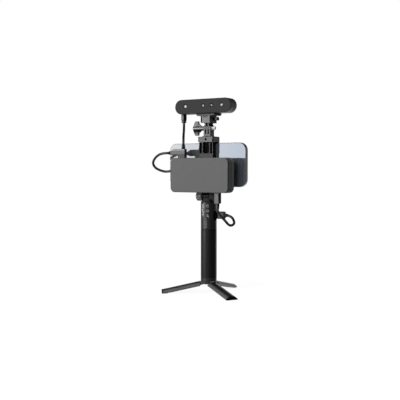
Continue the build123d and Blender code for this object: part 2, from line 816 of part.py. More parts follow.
upper_jaw.part.label = "upper_jaw"
export_step(upper_jaw.part, "parts/upper_jaw.step")

with BuildPart() as slide_bar:
    with BuildSketch(Plane.XY.offset(jaw_bottom)):
        with Locations((0, (slide_bar_front + slide_bar_back) / 2)):
            RectangleRounded(slide_bar_width, slide_bar_back - slide_bar_front, 0.8)
    extrude(amount=-slide_bar_length)
    with BuildSketch(Plane.XZ.offset(-slide_bar_front)):
        with Locations((0, jaw_bottom - slide_bar_length / 2)):
            SlotOverall(slide_bar_length * 0.6, slide_bar_width * 0.3, rotation=90)
    extrude(amount=-0.8, mode=Mode.SUBTRACT)
slide_bar.part.label = "slide_bar"
export_step(slide_bar.part, "parts/slide_bar.step")

with BuildPart() as upper_jaw_pad:
    with BuildSketch(Plane.XY.offset(jaw_bottom)):
        with Locations((0, pad_front + pad_depth / 2)):
            RectangleRounded(2 * (jaw_half_width - 1), pad_depth - 0.2, 1.2)
    extrude(amount=-upper_pad_thickness)
upper_jaw_pad.part.label = "upper_jaw_pad"
export_step(upper_jaw_pad.part, "parts/upper_jaw_pad.step")

# Return spring of the jaw, between the bar and the floor of the channel
spring_free = spring_length - 2 * spring_wire
with BuildPart() as return_spring:
    with BuildLine():
        coil = Helix(
            pitch=spring_free / spring_turns,
            height=spring_free,
            radius=(slide_bar_back - slide_bar_front) / 2 - spring_wire,
            center=(0, (slide_bar_front + slide_bar_back) / 2, channel_bottom + spring_wire),
        )
    with BuildSketch(Plane(origin=coil @ 0, z_dir=coil % 0)):
        RegularPolygon(spring_wire, 6)
    sweep(path=coil, is_frenet=True)
return_spring.part.label = "return_spring"
export_step(return_spring.part, "parts/return_spring.step")

# Bracket between the clamp frame and the wireless unit
with BuildPart() as unit_bracket:
    with BuildSketch(Plane.XZ.offset(-unit_back)):
        with Locations((0, unit_middle + 3.4)):
            RectangleRounded(bracket_width, bracket_height, 3)
    extrude(amount=unit_back - frame_front)
unit_bracket.part.label = "unit_bracket"
export_step(unit_bracket.part, "parts/unit_bracket.step")


def unit_sketch(inset=0.0):
    """Outline of the wireless unit, seen from the front."""
    with BuildSketch() as outline:
        RectangleRounded(unit_width - 2 * inset, unit_height - 2 * inset, unit_corner - inset)
    return outline.sketch


def unit_plane(depth):
    """Upright plane behind the front of the wireless unit; its z axis points to the viewer."""
    return Plane(origin=(0, unit_front + depth, unit_middle), x_dir=(1, 0, 0), z_dir=(0, -1, 0))


# Wireless unit: two shells, each with a wall, and a port for each of the three plugs
port_slot_width = port_width + 2 * port_gap
port_slot_height = port_height + 2 * port_gap
top_port = (junction_right + junction_step_left) / 2
for name, near, far in (("front", 0.0, unit_split), ("rear", unit_split, unit_depth)):
    with BuildPart() as shell:
        with BuildSketch(unit_plane(far)):
            add(unit_sketch())
        extrude(amount=far - near)
        outside = shell.faces().sort_by(Axis.Y)[0 if name == "front" else -1]
        fillet(outside.edges(), unit_edge)
        inner_near = unit_wall if name == "front" else near
        inner_far = far if name == "front" else unit_depth - unit_wall
        with BuildSketch(unit_plane(inner_far)):
            add(unit_sketch(unit_wall))
        extrude(amount=inner_far - inner_near, mode=Mode.SUBTRACT)
        for place, height in ((top_port, unit_top), (lower_plug_place, unit_bottom)):
            with Locations((place, port_line, height)):
                Box(port_slot_width, port_slot_height, 4 * unit_wall, mode=Mode.SUBTRACT)
        with Locations((back_plug_place, unit_back, back_plug_height)):
            Box(port_slot_width, 2.5 * unit_wall, port_slot_height, mode=Mode.SUBTRACT)
    shell.part.label = f"unit_{name}_shell"
    export_step(shell.part, f"parts/unit_{name}_shell.step")

# Circuit board of the wireless unit with its three sockets, and the flat cell in front of it
socket_depth_y = port_slot_height + 2 * socket_wall
board_front = port_line + socket_depth_y / 2
inside_back = unit_back - unit_wall
with BuildPart() as unit_board:
    with BuildSketch(unit_plane(board_front - unit_front + unit_board_size[2])):
        RectangleRounded(unit_board_size[0], unit_board_size[1], 2)
    extrude(amount=unit_board_size[2])
    socket_size = (port_slot_width + 2 * socket_wall, socket_depth_y, port_socket_depth)
    top_socket = unit_top - unit_wall - seat_gap - port_socket_depth / 2
    low_socket = unit_bottom + unit_wall + seat_gap + port_socket_depth / 2
    for place, height in ((top_port, top_socket), (lower_plug_place, low_socket)):
        with Locations((place, port_line, height)):
            Box(*socket_size)
            Box(port_slot_width, port_slot_height, 2 * port_socket_depth, mode=Mode.SUBTRACT)
    back_socket_depth = inside_back - seat_gap - board_front - unit_board_size[2]
    with Locations((back_plug_place, inside_back - seat_gap - back_socket_depth / 2, back_plug_height)):
        Box(socket_size[0], back_socket_depth, socket_depth_y)
    with Locations((back_plug_place, inside_back - seat_gap, back_plug_height)):
        Box(port_slot_width, 2 * back_socket_depth - 0.8, port_slot_height, mode=Mode.SUBTRACT)
unit_board.part.label = "unit_board"
export_step(unit_board.part, "parts/unit_board.step")

with BuildPart() as unit_cell:
    with BuildSketch(unit_plane(unit_wall + seat_gap + unit_cell_size[2])):
        RectangleRounded(unit_cell_size[0], unit_cell_size[1], 2)
    extrude(amount=unit_cell_size[2])
unit_cell.part.label = "unit_cell"
export_step(unit_cell.part, "parts/unit_cell.step")


def relief(origin, direction, length, steps=4, base=relief_base_radius, tip=relief_tip_radius):
    """Strain relief with ring grooves that starts at a plug face and tapers along the lead."""
    pitch = length / steps
    outline = [(0, 0)]
    for step in range(steps):
        low = base + (tip - base) * step / steps
        high = base + (tip - base) * (step + 1) / steps
        outline.append((low, pitch * step))
        outline.append((high, pitch * (step + 0.65)))
        outline.append((high - relief_groove, pitch * (step + 0.65)))
        outline.append((high - relief_groove, pitch * (step + 1)))
    outline.append((0, length))
    with BuildPart() as sleeve:
        with BuildSketch(Plane.XZ):
            with BuildLine():
                Polyline(*outline, close=True)
            make_face()
        revolve(axis=Axis.Z)
    return Plane(origin=origin, z_dir=direction).location * sleeve.part


def plug_tongue(place, direction):
    """Metal shell of a flat plug, centred on a point and pushed in along a direction."""
    long_side = Vector(1, 0, 0) if abs(direction[0]) < 0.5 else Vector(0, 1, 0)
    with BuildPart() as tongue:
        with BuildSketch(Plane(origin=place, x_dir=long_side, z_dir=direction)):
            SlotOverall(port_width, port_height)
        extrude(amount=unit_port_depth + seat_gap)
    return tongue.part


def bend_radii(points):
    """Bend radius at each inner point of a route."""
    radii = []
    for before, here, after in zip(points, points[1:], points[2:]):
        first = Vector(here) - Vector(before)
        second = Vector(after) - Vector(here)
        half_turn = radians(first.get_angle(second) / 2)
        radii.append(bend_share * min(first.length, second.length) / tan(half_turn))
    return radii


def lead(points):
    """Round lead along straight runs joined by tangent bends."""
    radii = bend_radii(points)
    with BuildPart() as cable:
        with BuildLine() as route:
            FilletPolyline(*points, radius=radii)
        path = route.wires()[0]
        with BuildSketch(Plane(origin=points[0], z_dir=Vector(points[1]) - Vector(points[0]))):
            Circle(lead_radius)
        sweep(path=path)
    expected = pi * lead_radius**2 * path.length
    print("lead", round(path.length, 1), "mm, radii", [round(r, 1) for r in radii])
    print("volume", round(cable.part.volume, 1), "expected", round(expected, 1))
    return cable.part


# Prongs on the upper jaw
prong_plane = Plane.YZ.offset(-prong_pitch - prong_width / 2)
prong_stack = 2 * prong_pitch + prong_width
with BuildPart() as prong_base:
    with BuildSketch(Plane.XY.offset(jaw_top + seat_gap)):
        RectangleRounded(prong_stack, 2 * prong_radius, 1.0)
    extrude(amount=prong_flange)
    for step in range(3):
        with BuildSketch(prong_plane.offset(step * prong_pitch)):
            with Locations((0, head_tilt_height)):
                Circle(prong_radius)
            prong_foot = jaw_top + seat_gap
            with Locations((0, (head_tilt_height + prong_foot) / 2)):
                Rectangle(2 * prong_radius, head_tilt_height - prong_foot)
        extrude(amount=prong_width)
    with BuildSketch(prong_plane):
        with Locations((0, head_tilt_height)):
            Circle(thumb_screw_radius + fit_gap)
    extrude(amount=prong_stack, mode=Mode.SUBTRACT)
prong_base.part.label = "prong_base"
export_step(prong_base.part, "parts/prong_base.step")

# Thumb screw through the prongs: a wing grip, a cone and a shaft
stack_end = prong_stack / 2
shaft_end = stack_end + seat_gap + thumb_nut_thickness + 0.6
with BuildPart() as thumb_screw:
    with BuildSketch(Plane.XY):
        with BuildLine():
            Polyline(
                (-thumb_boss_end, 0),
                (-thumb_boss_end, thumb_boss_radius),
                (-thumb_cone_start, thumb_cone_radius),
                (-stack_end - move_gap, thumb_cone_tip),
                (-stack_end - move_gap, thumb_screw_radius),
                (shaft_end - 0.5, thumb_screw_radius),
                (shaft_end, thumb_screw_radius - 0.5),
                (shaft_end, 0),
                close=True,
            )
        make_face()
    revolve(axis=Axis.X)
    with BuildSketch(Plane.XZ) as wing_outline:
        with BuildLine():
            Polyline(
                (-thumb_cone_start, -thumb_wing_radius),
                (-thumb_cone_start, thumb_wing_radius),
                (-thumb_cone_start - thumb_wing_tip, thumb_wing_radius),
                (-thumb_boss_end, thumb_boss_radius),
                (-thumb_boss_end, -thumb_boss_radius),
                (-thumb_cone_start - thumb_wing_tip, -thumb_wing_radius),
                close=True,
            )
        make_face()
        tips = wing_outline.vertices().filter_by(lambda v: abs(v.Y) > thumb_boss_radius + 1)
        fillet(tips, thumb_wing_corner)
    wings = extrude(amount=thumb_wing_width / 2, both=True, mode=Mode.PRIVATE)
    add(wings.fillet(thumb_wing_edge, wings.faces().filter_by(Axis.Y).edges()))
thumb_screw.part.label = "thumb_screw"
thumb_screw.part.locate(Location((0, 0, head_tilt_height)))
export_step(thumb_screw.part, "parts/thumb_screw.step")

with BuildPart() as thumb_nut:
    with BuildSketch(Plane.YZ.offset(stack_end + seat_gap)):
        with Locations((0, head_tilt_height)):
            RegularPolygon(thumb_nut_flats / 2, 6, major_radius=False)
            Circle(thumb_screw_radius + fit_gap, mode=Mode.SUBTRACT)
    extrude(amount=thumb_nut_thickness)
thumb_nut.part.label = "thumb_nut"
export_step(thumb_nut.part, "parts/thumb_nut.step")

# Fork of the head, whose two prongs sit in the slots of the base
fork_width = prong_pitch - prong_width - 2 * prong_play
with BuildPart() as fork:
    with BuildSketch(Plane.XY.offset(head_tilt_height + prong_radius + move_gap)):
        RectangleRounded(2 * prong_pitch, 2 * prong_radius, 0.8)
    extrude(amount=fork_top - head_tilt_height - prong_radius - move_gap)
    for side in (-1, 1):
        with BuildSketch(Plane.YZ.offset(side * prong_pitch / 2 - fork_width / 2)):
            with Locations((0, head_tilt_height)):
                Circle(prong_radius)
            with Locations((0, (head_tilt_height + fork_top) / 2)):
                Rectangle(2 * prong_radius, fork_top - head_tilt_height)
        extrude(amount=fork_width)
    with BuildSketch(prong_plane):
        with Locations((0, head_tilt_height)):
            Circle(thumb_screw_radius + fit_gap)
    extrude(amount=prong_stack, mode=Mode.SUBTRACT)
fork.part.label = "fork"
export_step(fork.part, "parts/fork.step")

# Quick-release clamp: body with a dovetail groove, a cheek on the left, and the plate on top
block_left = -block_half_width + cheek_thickness + seat_gap
block_depth = block_back - block_front
block_centre = (block_back + block_front) / 2
with BuildPart() as clamp_block:
    with BuildSketch(Plane.XY.offset(block_bottom)):
        with Locations(((block_half_width + block_left) / 2, block_centre)):
            Rectangle(block_half_width - block_left, block_depth)
    extrude(amount=block_height)
    fillet(clamp_block.edges().filter_by(Axis.Z).group_by(Axis.X)[-1], 1.2)
    groove_floor = plate_bottom - foot_height - seat_gap
    with BuildSketch(Plane.XZ.offset(-block_back)):
        with BuildLine():
            wide = foot_width / 2 + 1.2 + fit_gap
            narrow = foot_width / 2 - 0.8 + fit_gap
            Polyline(
                (-wide, groove_floor),
                (wide, groove_floor),
                (narrow, plate_bottom + 0.01),
                (-narrow, plate_bottom + 0.01),
                close=True,
            )
        make_face()
    extrude(amount=block_depth, mode=Mode.SUBTRACT)
    with BuildSketch(Plane.YZ.offset(block_left)):
        with Locations((plate_knob_y, plate_knob_z)):
            Circle(plate_screw_radius + fit_gap)
    extrude(amount=2 * block_half_width, mode=Mode.SUBTRACT)
clamp_block.part.label = "clamp_block"
export_step(clamp_block.part, "parts/clamp_block.step")

with BuildPart() as clamp_cheek:
    with BuildSketch(Plane.YZ.offset(-block_half_width)):
        with Locations((block_centre, block_bottom + block_height / 2)):
            RectangleRounded(block_depth, block_height, 1.0)
        with Locations((plate_knob_y, plate_knob_z)):
            Circle(plate_screw_radius + fit_gap, mode=Mode.SUBTRACT)
    extrude(amount=cheek_thickness)
clamp_cheek.part.label = "clamp_cheek"
export_step(clamp_cheek.part, "parts/clamp_cheek.step")

with BuildPart() as quick_plate:
    with BuildSketch(Plane.XY.offset(plate_bottom)):
        RectangleRounded(2 * plate_half_width, 2 * plate_half_depth, 2.5)
    extrude(amount=plate_thickness)
    chamfer(quick_plate.faces().sort_by(Axis.Z)[0].edges(), 0.5)
    with BuildSketch(Plane.XZ.offset(-block_back + 1)):
        with BuildLine():
            wide = foot_width / 2 + 1.2 - fit_gap
            narrow = foot_width / 2 - 0.8 - fit_gap
            Polyline(
                (-wide, plate_bottom - foot_height),
                (wide, plate_bottom - foot_height),
                (narrow, plate_bottom),
                (narrow, plate_bottom + 0.5),
                (-narrow, plate_bottom + 0.5),
                (-narrow, plate_bottom),
                close=True,
            )
        make_face()
    extrude(amount=block_depth - 2)
    with BuildSketch(Plane.XY.offset(plate_bottom - foot_height)):
        Circle(mount_screw_radius + fit_gap)
    extrude(amount=foot_height + plate_thickness, mode=Mode.SUBTRACT)
    with BuildSketch(Plane.XY.offset(plate_bottom - foot_height)):
        Circle(mount_screw_head + fit_gap)
    extrude(amount=mount_head_depth, mode=Mode.SUBTRACT)
quick_plate.part.label = "quick_plate"
export_step(quick_plate.part, "parts/quick_plate.step")

with BuildPart() as plate_cushion:
    with BuildSketch(Plane.XY.offset(plate_top)):
        RectangleRounded(2 * plate_half_width - 1.6, 2 * plate_half_depth - 3.0, 2.0)
        Circle(mount_screw_radius + fit_gap, mode=Mode.SUBTRACT)
    extrude(amount=plate_pad)
plate_cushion.part.label = "plate_cushion"
export_step(plate_cushion.part, "parts/plate_cushion.step")

with BuildPart() as mount_screw:
    with BuildSketch(Plane.XY.offset(plate_bottom - foot_height + 0.2)):
        Circle(mount_screw_head)
    extrude(amount=mount_head_depth - 0.3)
    with BuildSketch(Plane.XY.offset(plate_bottom - foot_height + 0.2)):
        Circle(mount_screw_radius)
    extrude(amount=head_bottom + mount_screw_length - plate_bottom + foot_height - 0.2)
    with BuildSketch(Plane.XY.offset(plate_bottom - foot_height + 0.2)):
        Rectangle(1.2, 3 * mount_screw_head)
    extrude(amount=1.0, mode=Mode.SUBTRACT)
mount_screw.part.label = "mount_screw"
export_step(mount_screw.part, "parts/mount_screw.step")

# Clamping knob of the quick-release clamp: screw, collar and fluted cap
collar_end = block_half_width + move_gap + plate_collar_length
with BuildPart() as plate_knob:
    knob_axis = (plate_knob_y, plate_knob_z)
    with BuildSketch(Plane.YZ.offset(-block_half_width + 0.4)):
        with Locations(knob_axis):
            Circle(plate_screw_radius)
    extrude(amount=collar_end + block_half_width)
    with BuildSketch(Plane.YZ.offset(block_half_width + move_gap)):
        with Locations(knob_axis):
            Circle(plate_collar_radius)
    extrude(amount=plate_collar_length)
    with BuildSketch(Plane.YZ.offset(collar_end)):
        with Locations(knob_axis):
            Circle(plate_knob_radius)
    extrude(amount=plate_knob_length)
    chamfer(plate_knob.faces().sort_by(Axis.X)[-1].edges(), 0.4)
    with BuildSketch(Plane.YZ.offset(collar_end + 0.8)):
        with Locations(knob_axis):
            with PolarLocations(plate_knob_radius + 0.15, plate_knob_grips):
                Circle(0.55)
    extrude(amount=plate_knob_length, mode=Mode.SUBTRACT)
plate_knob.part.label = "plate_knob"
export_step(plate_knob.part, "parts/plate_knob.step")


# Scanner head: two shells that close on the board and its cameras
def head_sketch(inset=0.0):
    """Outline of the scanner head, seen from the front."""
    with BuildSketch() as outline:
        SlotOverall(head_width - 2 * inset, head_height - 2 * inset)
    return outline.sketch


def head_plane(depth):
    """Upright plane behind the front of the scanner head; its z axis points to the viewer."""
    return Plane(
        origin=(head_centre, head_front + depth, head_middle), x_dir=(1, 0, 0), z_dir=(0, -1, 0)
    )


for name, near, far in (("front", 0.0, head_split), ("rear", head_split, head_depth)):
    with BuildPart() as shell:
        with BuildSketch(head_plane(far)):
            add(head_sketch())
        extrude(amount=far - near)
        outside = shell.faces().sort_by(Axis.Y)[0 if name == "front" else -1]
        fillet(outside.edges(), head_edge)
        inner_near = head_wall if name == "front" else near
        inner_far = far if name == "front" else head_depth - head_wall
        with BuildSketch(head_plane(inner_far)):
            add(head_sketch(head_wall))
        extrude(amount=inner_far - inner_near, mode=Mode.SUBTRACT)
        boss_near = max(near, head_depth / 2 - boss_half_width)
        boss_far = min(far, head_depth / 2 + boss_half_width)
        with BuildSketch(Plane.XY.offset(head_bottom + head_wall / 2)):
            with Locations((0, head_front + (boss_near + boss_far) / 2)):
                Rectangle(2 * boss_half_width, boss_far - boss_near)
        extrude(amount=boss_height - head_wall / 2)
        with BuildSketch(Plane.XY.offset(head_bottom)):
            Circle(mount_screw_radius + fit_gap)
        extrude(amount=mount_screw_length + seat_gap, mode=Mode.SUBTRACT)
        with BuildSketch(Plane.XY.offset(head_bottom - 1)):
            with Locations((head_plug_place, 0)):
                Rectangle(port_slot_height, port_slot_width)
        extrude(amount=head_wall + 3, mode=Mode.SUBTRACT)
        if name == "front":
            with BuildSketch(Plane.XZ.offset(-head_front)):
                for place in lens_places.values():
                    with Locations((place, head_middle + lens_height)):
                        Circle(lens_radius + fit_gap)
            extrude(amount=-head_wall - 0.5, mode=Mode.SUBTRACT)
    shell.part.label = f"head_{name}_shell"
    export_step(shell.part, f"parts/head_{name}_shell.step")

camera_front = head_front + lens_recess
board_y = camera_front + lens_tube_length
with BuildPart() as camera_board:
    with BuildSketch(head_plane(board_y - head_front + head_board_size[2])):
        RectangleRounded(head_board_size[0], head_board_size[1], 3)
    extrude(amount=head_board_size[2])
    with BuildSketch(Plane.XZ.offset(-camera_front)):
        for place in lens_places.values():
            with Locations((place, head_middle + lens_height)):
                Circle(lens_radius)
    extrude(amount=-lens_tube_length)
    with BuildSketch(Plane.XZ.offset(-camera_front)):
        for place in lens_places.values():
            with Locations((place, head_middle + lens_height)):
                Circle(lens_radius - lens_tube_wall)
    extrude(amount=-lens_tube_length * 0.6, mode=Mode.SUBTRACT)
    socket_floor = head_bottom + head_wall + 0.8
    with Locations((head_plug_place, 0, socket_floor + port_socket_depth / 2)):
        Box(socket_depth_y, port_slot_width + 2 * socket_wall, port_socket_depth)
    with Locations((head_plug_place, 0, socket_floor)):
        Box(port_slot_height, port_slot_width, 2 * port_socket_depth - 1.6, mode=Mode.SUBTRACT)
camera_board.part.label = "camera_board"
export_step(camera_board.part, "parts/camera_board.step")

with BuildPart() as lens_glasses:
    with BuildSketch(Plane.XZ.offset(-camera_front - lens_recess)):
        for place in lens_places.values():
            with Locations((place, head_middle + lens_height)):
                Circle(lens_radius - lens_tube_wall - fit_gap)
    extrude(amount=-glass_thickness)
lens_glasses.part.label = "lens_glasses"
export_step(lens_glasses.part, "parts/lens_glasses.step")

# Plug under the head, with its strain relief
head_plug_top = head_bottom - seat_gap
head_relief_top = head_plug_top - head_plug_length
with BuildPart() as head_plug:
    with BuildSketch(Plane.XY.offset(head_plug_top)):
        with Locations((head_plug_place, 0)):
            RectangleRounded(head_plug_width, head_plug_depth, 1.6)
    extrude(amount=-head_plug_length)
    chamfer(head_plug.faces().sort_by(Axis.Z)[0].edges(), 0.8)
    head_relief_place = (head_plug_place, 0, head_relief_top)
    add(relief(head_relief_place, (0, 0, -1), head_relief_length, 2, head_relief_base, head_relief_tip))
    with BuildSketch(Plane.XY.offset(head_plug_top)):
        with Locations((head_plug_place, 0)):
            SlotOverall(port_width, port_height, rotation=90)
    extrude(amount=unit_port_depth + seat_gap)
head_plug.part.label = "head_plug"
export_step(head_plug.part, "parts/head_plug.step")

# Junction on top of the wireless unit: where the scanner lead and the loop meet
junction_bottom = unit_top + junction_step
junction_top = junction_bottom + junction_height
junction_shoulder = junction_left + junction_taper
junction_exit = junction_bottom + junction_exit_height
scanner_lead_place = junction_right - 4.6
with BuildPart() as junction:
    with BuildSketch(Plane.XZ.offset(-port_line)):
        with BuildLine():
            Polyline(
                (junction_right, unit_top + seat_gap),
                (junction_right, junction_top),
                (junction_shoulder, junction_top),
                (junction_left, junction_exit + relief_base_radius),
                (junction_left, junction_exit - relief_base_radius),
                (junction_shoulder, junction_bottom),
                (junction_step_left, junction_bottom),
                (junction_step_left, unit_top + seat_gap),
                close=True,
            )
        make_face()
    extrude(amount=junction_depth / 2, both=True)
    with BuildSketch(Plane.YZ.offset(junction_left - 1)):
        with Locations((port_line, (unit_top + junction_top) / 2)):
            RectangleRounded(junction_depth, junction_top - unit_top + 3, 1.6)
    extrude(amount=junction_right - junction_left + 2, mode=Mode.INTERSECT)
    add(relief((junction_left, port_line, junction_exit), (-1, 0, 0), junction_relief, 3, junction_ring))
    add(relief((scanner_lead_place, port_line, junction_top), (0, 0, 1), top_relief, 5, junction_ring))
    add(plug_tongue((top_port, port_line, unit_top + seat_gap), (0, 0, -1)))
junction.part.label = "junction"
export_step(junction.part, "parts/junction.step")

# Plug in the underside of the wireless unit
lower_plug_top = unit_bottom - seat_gap
with BuildPart() as lower_plug:
    with BuildSketch(Plane.XY.offset(lower_plug_top)):
        with Locations((lower_plug_place, port_line)):
            RectangleRounded(port_width + 1.2, lower_plug_depth, 1.4)
    extrude(amount=-lower_plug_length)
    lower_plug_foot = (lower_plug_place, port_line, lower_plug_top - lower_plug_length)
    add(relief(lower_plug_foot, (0, 0, -1), lower_relief, 5))
    add(plug_tongue((lower_plug_place, port_line, lower_plug_top), (0, 0, 1)))
lower_plug.part.label = "lower_plug"
export_step(lower_plug.part, "parts/lower_plug.step")

# Angled plug in the back of the wireless unit
back_plug_y = unit_back + seat_gap
back_plug_centre = back_plug_y + back_plug_depth / 2
back_plug_end = back_plug_place - back_plug_width / 2
with BuildPart() as back_plug:
    with BuildSketch(Plane.XZ.offset(-back_plug_y)):
        with Locations((back_plug_place, back_plug_height)):
            RectangleRounded(back_plug_width, back_plug_tall, 1.4)
    extrude(amount=-back_plug_depth)
    add(relief((back_plug_end, back_plug_centre, back_plug_height), (-1, 0, 0), back_relief, 3))
    add(plug_tongue((back_plug_place, back_plug_y, back_plug_height), (0, -1, 0)))
back_plug.part.label = "back_plug"
export_step(back_plug.part, "parts/back_plug.step")

# Plug in the side of the handle
handle_plug_start = control_radius + handle_plug_gap
handle_plug_end = handle_plug_start + handle_plug_length
with BuildPart() as handle_plug:
    with BuildSketch(Plane.YZ.offset(handle_plug_start)):
        with Locations((0, socket_height + handle_plug_lift)):
            RectangleRounded(handle_plug_width, handle_plug_height, 2.2)
    extrude(amount=handle_plug_length)
    chamfer(handle_plug.faces().sort_by(Axis.X)[-1].edges(), 1.0)
    relief_place = (handle_plug_end, 0, socket_height + handle_plug_lift)
    add(relief(relief_place, (1, 0, 0), relief_length))
    with BuildSketch(Plane.YZ.offset(handle_plug_start)):
        with Locations((0, socket_height)):
            Rectangle(usb_thickness, usb_width)
    extrude(amount=-usb_depth)
handle_plug.part.label = "handle_plug"
export_step(handle_plug.part, "parts/handle_plug.step")

# Lead from the unit's underside to the handle
handle_lead_top = lower_plug_top - lower_plug_length - lower_relief
handle_lead_end = handle_plug_end + relief_length
handle_exit = socket_height + handle_plug_lift
fall = handle_lead_top - handle_exit
handle_route = [
    (lower_plug_place, port_line, handle_lead_top),
    (lower_plug_place, port_line, handle_lead_top - 0.43 * fall),
    (lower_plug_place + 0.19 * handle_bow, port_line + 1.0, handle_lead_top - 0.86 * fall),
    (lower_plug_place + 0.66 * handle_bow, port_line + 4.0, handle_lead_top - 1.51 * fall),
    (handle_lead_end + 0.77 * handle_bow, 0.69 * port_line, handle_exit - handle_sag),
    (handle_lead_end + handle_bow, 0.39 * port_line, handle_exit - 0.86 * handle_sag),
    (handle_lead_end + 0.79 * handle_bow, 0.12 * port_line, handle_exit - 0.25 * handle_sag),
    (handle_lead_end + 0.41 * handle_bow, 0, handle_exit),
    (handle_lead_end, 0, handle_exit),
]
with BuildPart() as handle_lead:
    add(lead(handle_route))
handle_lead.part.label = "handle_lead"
export_step(handle_lead.part, "parts/handle_lead.step")

# Loop from the junction to the plug in the back of the unit
loop_start = junction_left - junction_relief
loop_end = back_plug_end - back_relief
loop_fall = junction_exit - back_plug_height
loop_run = port_line - back_plug_centre
loop_route = [
    (loop_start, port_line, junction_exit),
    (loop_start - 0.29 * loop_bow, port_line, junction_exit),
    (loop_start - 0.61 * loop_bow, port_line - 0.08 * loop_run, junction_exit - 0.1 * loop_fall),
    (loop_start - 0.89 * loop_bow, port_line - 0.27 * loop_run, junction_exit - 0.35 * loop_fall),
    (loop_start - loop_bow, port_line - 0.44 * loop_run, junction_exit - 0.61 * loop_fall),
    (loop_start - 0.89 * loop_bow, port_line - 0.61 * loop_run, junction_exit - 0.85 * loop_fall),
    (loop_start - 0.62 * loop_bow, port_line - 0.83 * loop_run, back_plug_height),
    (loop_start - 0.38 * loop_bow, port_line - 0.98 * loop_run, back_plug_height - loop_sag),
    (loop_start - 0.125 * loop_bow, back_plug_centre, back_plug_height),
    (loop_end, back_plug_centre, back_plug_height),
]
with BuildPart() as loop_lead:
    add(lead(loop_route))
loop_lead.part.label = "loop_lead"
export_step(loop_lead.part, "parts/loop_lead.step")

# Scanner lead, whose lower half moves with the clamp and whose upper half moves with the head
scanner_start = junction_top + top_relief
scanner_end = head_relief_top - head_relief_length
scanner_rise = scanner_end - scanner_start
scanner_lean = head_plug_place - scanner_lead_place
def scanner_point(across, up):
    """Point of the scanner lead, by its shares of the way across to the head plug and up to it."""
    x = scanner_lead_place + across * scanner_lean
    return (x, (1 - across) * port_line, scanner_start + up * scanner_rise)


last_across, last_up = scanner_bends[-1]
scanner_split = scanner_point(
    last_across + scanner_share * (1 - 2 * last_across), last_up + scanner_share * (1 - 2 * last_up)
)
lower_route = [scanner_point(across, up) for across, up in scanner_bends] + [scanner_split]
upper_route = [scanner_split] + [
    scanner_point(1 - across, 1 - up) for across, up in reversed(scanner_bends)
]
for name, route in (("lower", lower_route), ("upper", upper_route)):
    with BuildPart() as scanner_lead:
        add(lead(route))
    scanner_lead.part.label = f"scanner_lead_{name}"
    export_step(scanner_lead.part, f"parts/scanner_lead_{name}.step")

# Phone: rounded frame with a glass on each side
phone_middle = (phone_centre, phone_front + phone_thickness, phone_bottom + phone_height / 2)
phone_plane = Plane(origin=phone_middle, x_dir=(1, 0, 0), z_dir=(0, -1, 0))
with BuildPart() as phone_body:
    with BuildSketch(phone_plane):
        RectangleRounded(phone_width, phone_height, phone_corner)
    extrude(amount=phone_thickness)
    fillet(phone_body.faces().filter_by(Axis.Y).edges(), phone_edge)
    for depth in (0, phone_thickness - phone_glass):
        with BuildSketch(phone_plane.offset(depth)):
            RectangleRounded(
                phone_width - 2 * phone_bezel, phone_height - 2 * phone_bezel,
                phone_corner - phone_bezel,
            )
        extrude(amount=phone_glass, mode=Mode.SUBTRACT)
    with BuildSketch(Plane.XY.offset(phone_bottom + phone_height)):
        with Locations((phone_centre + phone_key_shift, phone_front + phone_thickness / 2)):
            SlotOverall(phone_key_length, phone_key_width)
    extrude(amount=phone_key_proud)
phone_body.part.label = "phone_body"
export_step(phone_body.part, "parts/phone_body.step")

for name, depth in (("screen", 0.0), ("back", phone_thickness - phone_glass)):
    with BuildPart() as pane:
        with BuildSketch(phone_plane.offset(depth)):
            inset = phone_bezel + fit_gap
            RectangleRounded(
                phone_width - 2 * inset, phone_height - 2 * inset, phone_corner - inset
            )
        extrude(amount=phone_glass)
    pane.part.label = f"phone_{name}"
    export_step(pane.part, f"parts/phone_{name}.step")
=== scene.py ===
"""Looks of the hand-held 3-D scanner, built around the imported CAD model.

Metres, in the frame of the CAD: +Z up, lenses towards -Y, origin on the ground under the handle.
"""

import math

import bpy
from mathutils import Matrix, Vector


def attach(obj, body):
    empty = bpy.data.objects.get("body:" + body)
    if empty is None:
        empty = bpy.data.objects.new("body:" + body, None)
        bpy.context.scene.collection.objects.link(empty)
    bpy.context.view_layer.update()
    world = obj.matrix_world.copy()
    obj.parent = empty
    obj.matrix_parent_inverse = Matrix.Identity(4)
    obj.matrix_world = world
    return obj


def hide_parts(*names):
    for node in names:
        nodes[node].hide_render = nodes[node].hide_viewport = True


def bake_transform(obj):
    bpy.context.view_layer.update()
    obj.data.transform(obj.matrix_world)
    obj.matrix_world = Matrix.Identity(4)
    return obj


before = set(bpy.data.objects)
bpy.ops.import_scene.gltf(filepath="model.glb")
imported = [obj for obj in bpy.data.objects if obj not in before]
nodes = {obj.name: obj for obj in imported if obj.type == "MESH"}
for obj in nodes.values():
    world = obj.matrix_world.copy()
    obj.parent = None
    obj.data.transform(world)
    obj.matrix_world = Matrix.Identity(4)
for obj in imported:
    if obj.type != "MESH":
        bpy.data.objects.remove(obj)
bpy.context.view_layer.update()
scene = bpy.context.scene
MM = 0.001


# Materials


def grey(level, warm=0.0):
    """Linear colour of an sRGB grey level from 0 to 255."""
    v = level / 255
    lin = v / 12.92 if v <= 0.04045 else ((v + 0.055) / 1.055) ** 2.4
    return (lin * (1 + warm), lin, lin * (1 - warm))


def shade(color, factor):
    return tuple(min(1.0, c * factor) for c in color)


def new_material(name):
    mat = bpy.data.materials.new(name)
    mat.use_nodes = True
    tree = mat.node_tree
    place = tree.nodes.new("ShaderNodeTexCoord")
    return mat, tree, tree.nodes["Principled BSDF"], place


def noise(tree, place, scale, detail=3.0, rough=0.5):
    tex = tree.nodes.new("ShaderNodeTexNoise")
    tex.inputs["Scale"].default_value = scale
    tex.inputs["Detail"].default_value = detail
    tex.inputs["Roughness"].default_value = rough
    tree.links.new(place.outputs["Object"], tex.inputs["Vector"])
    return tex


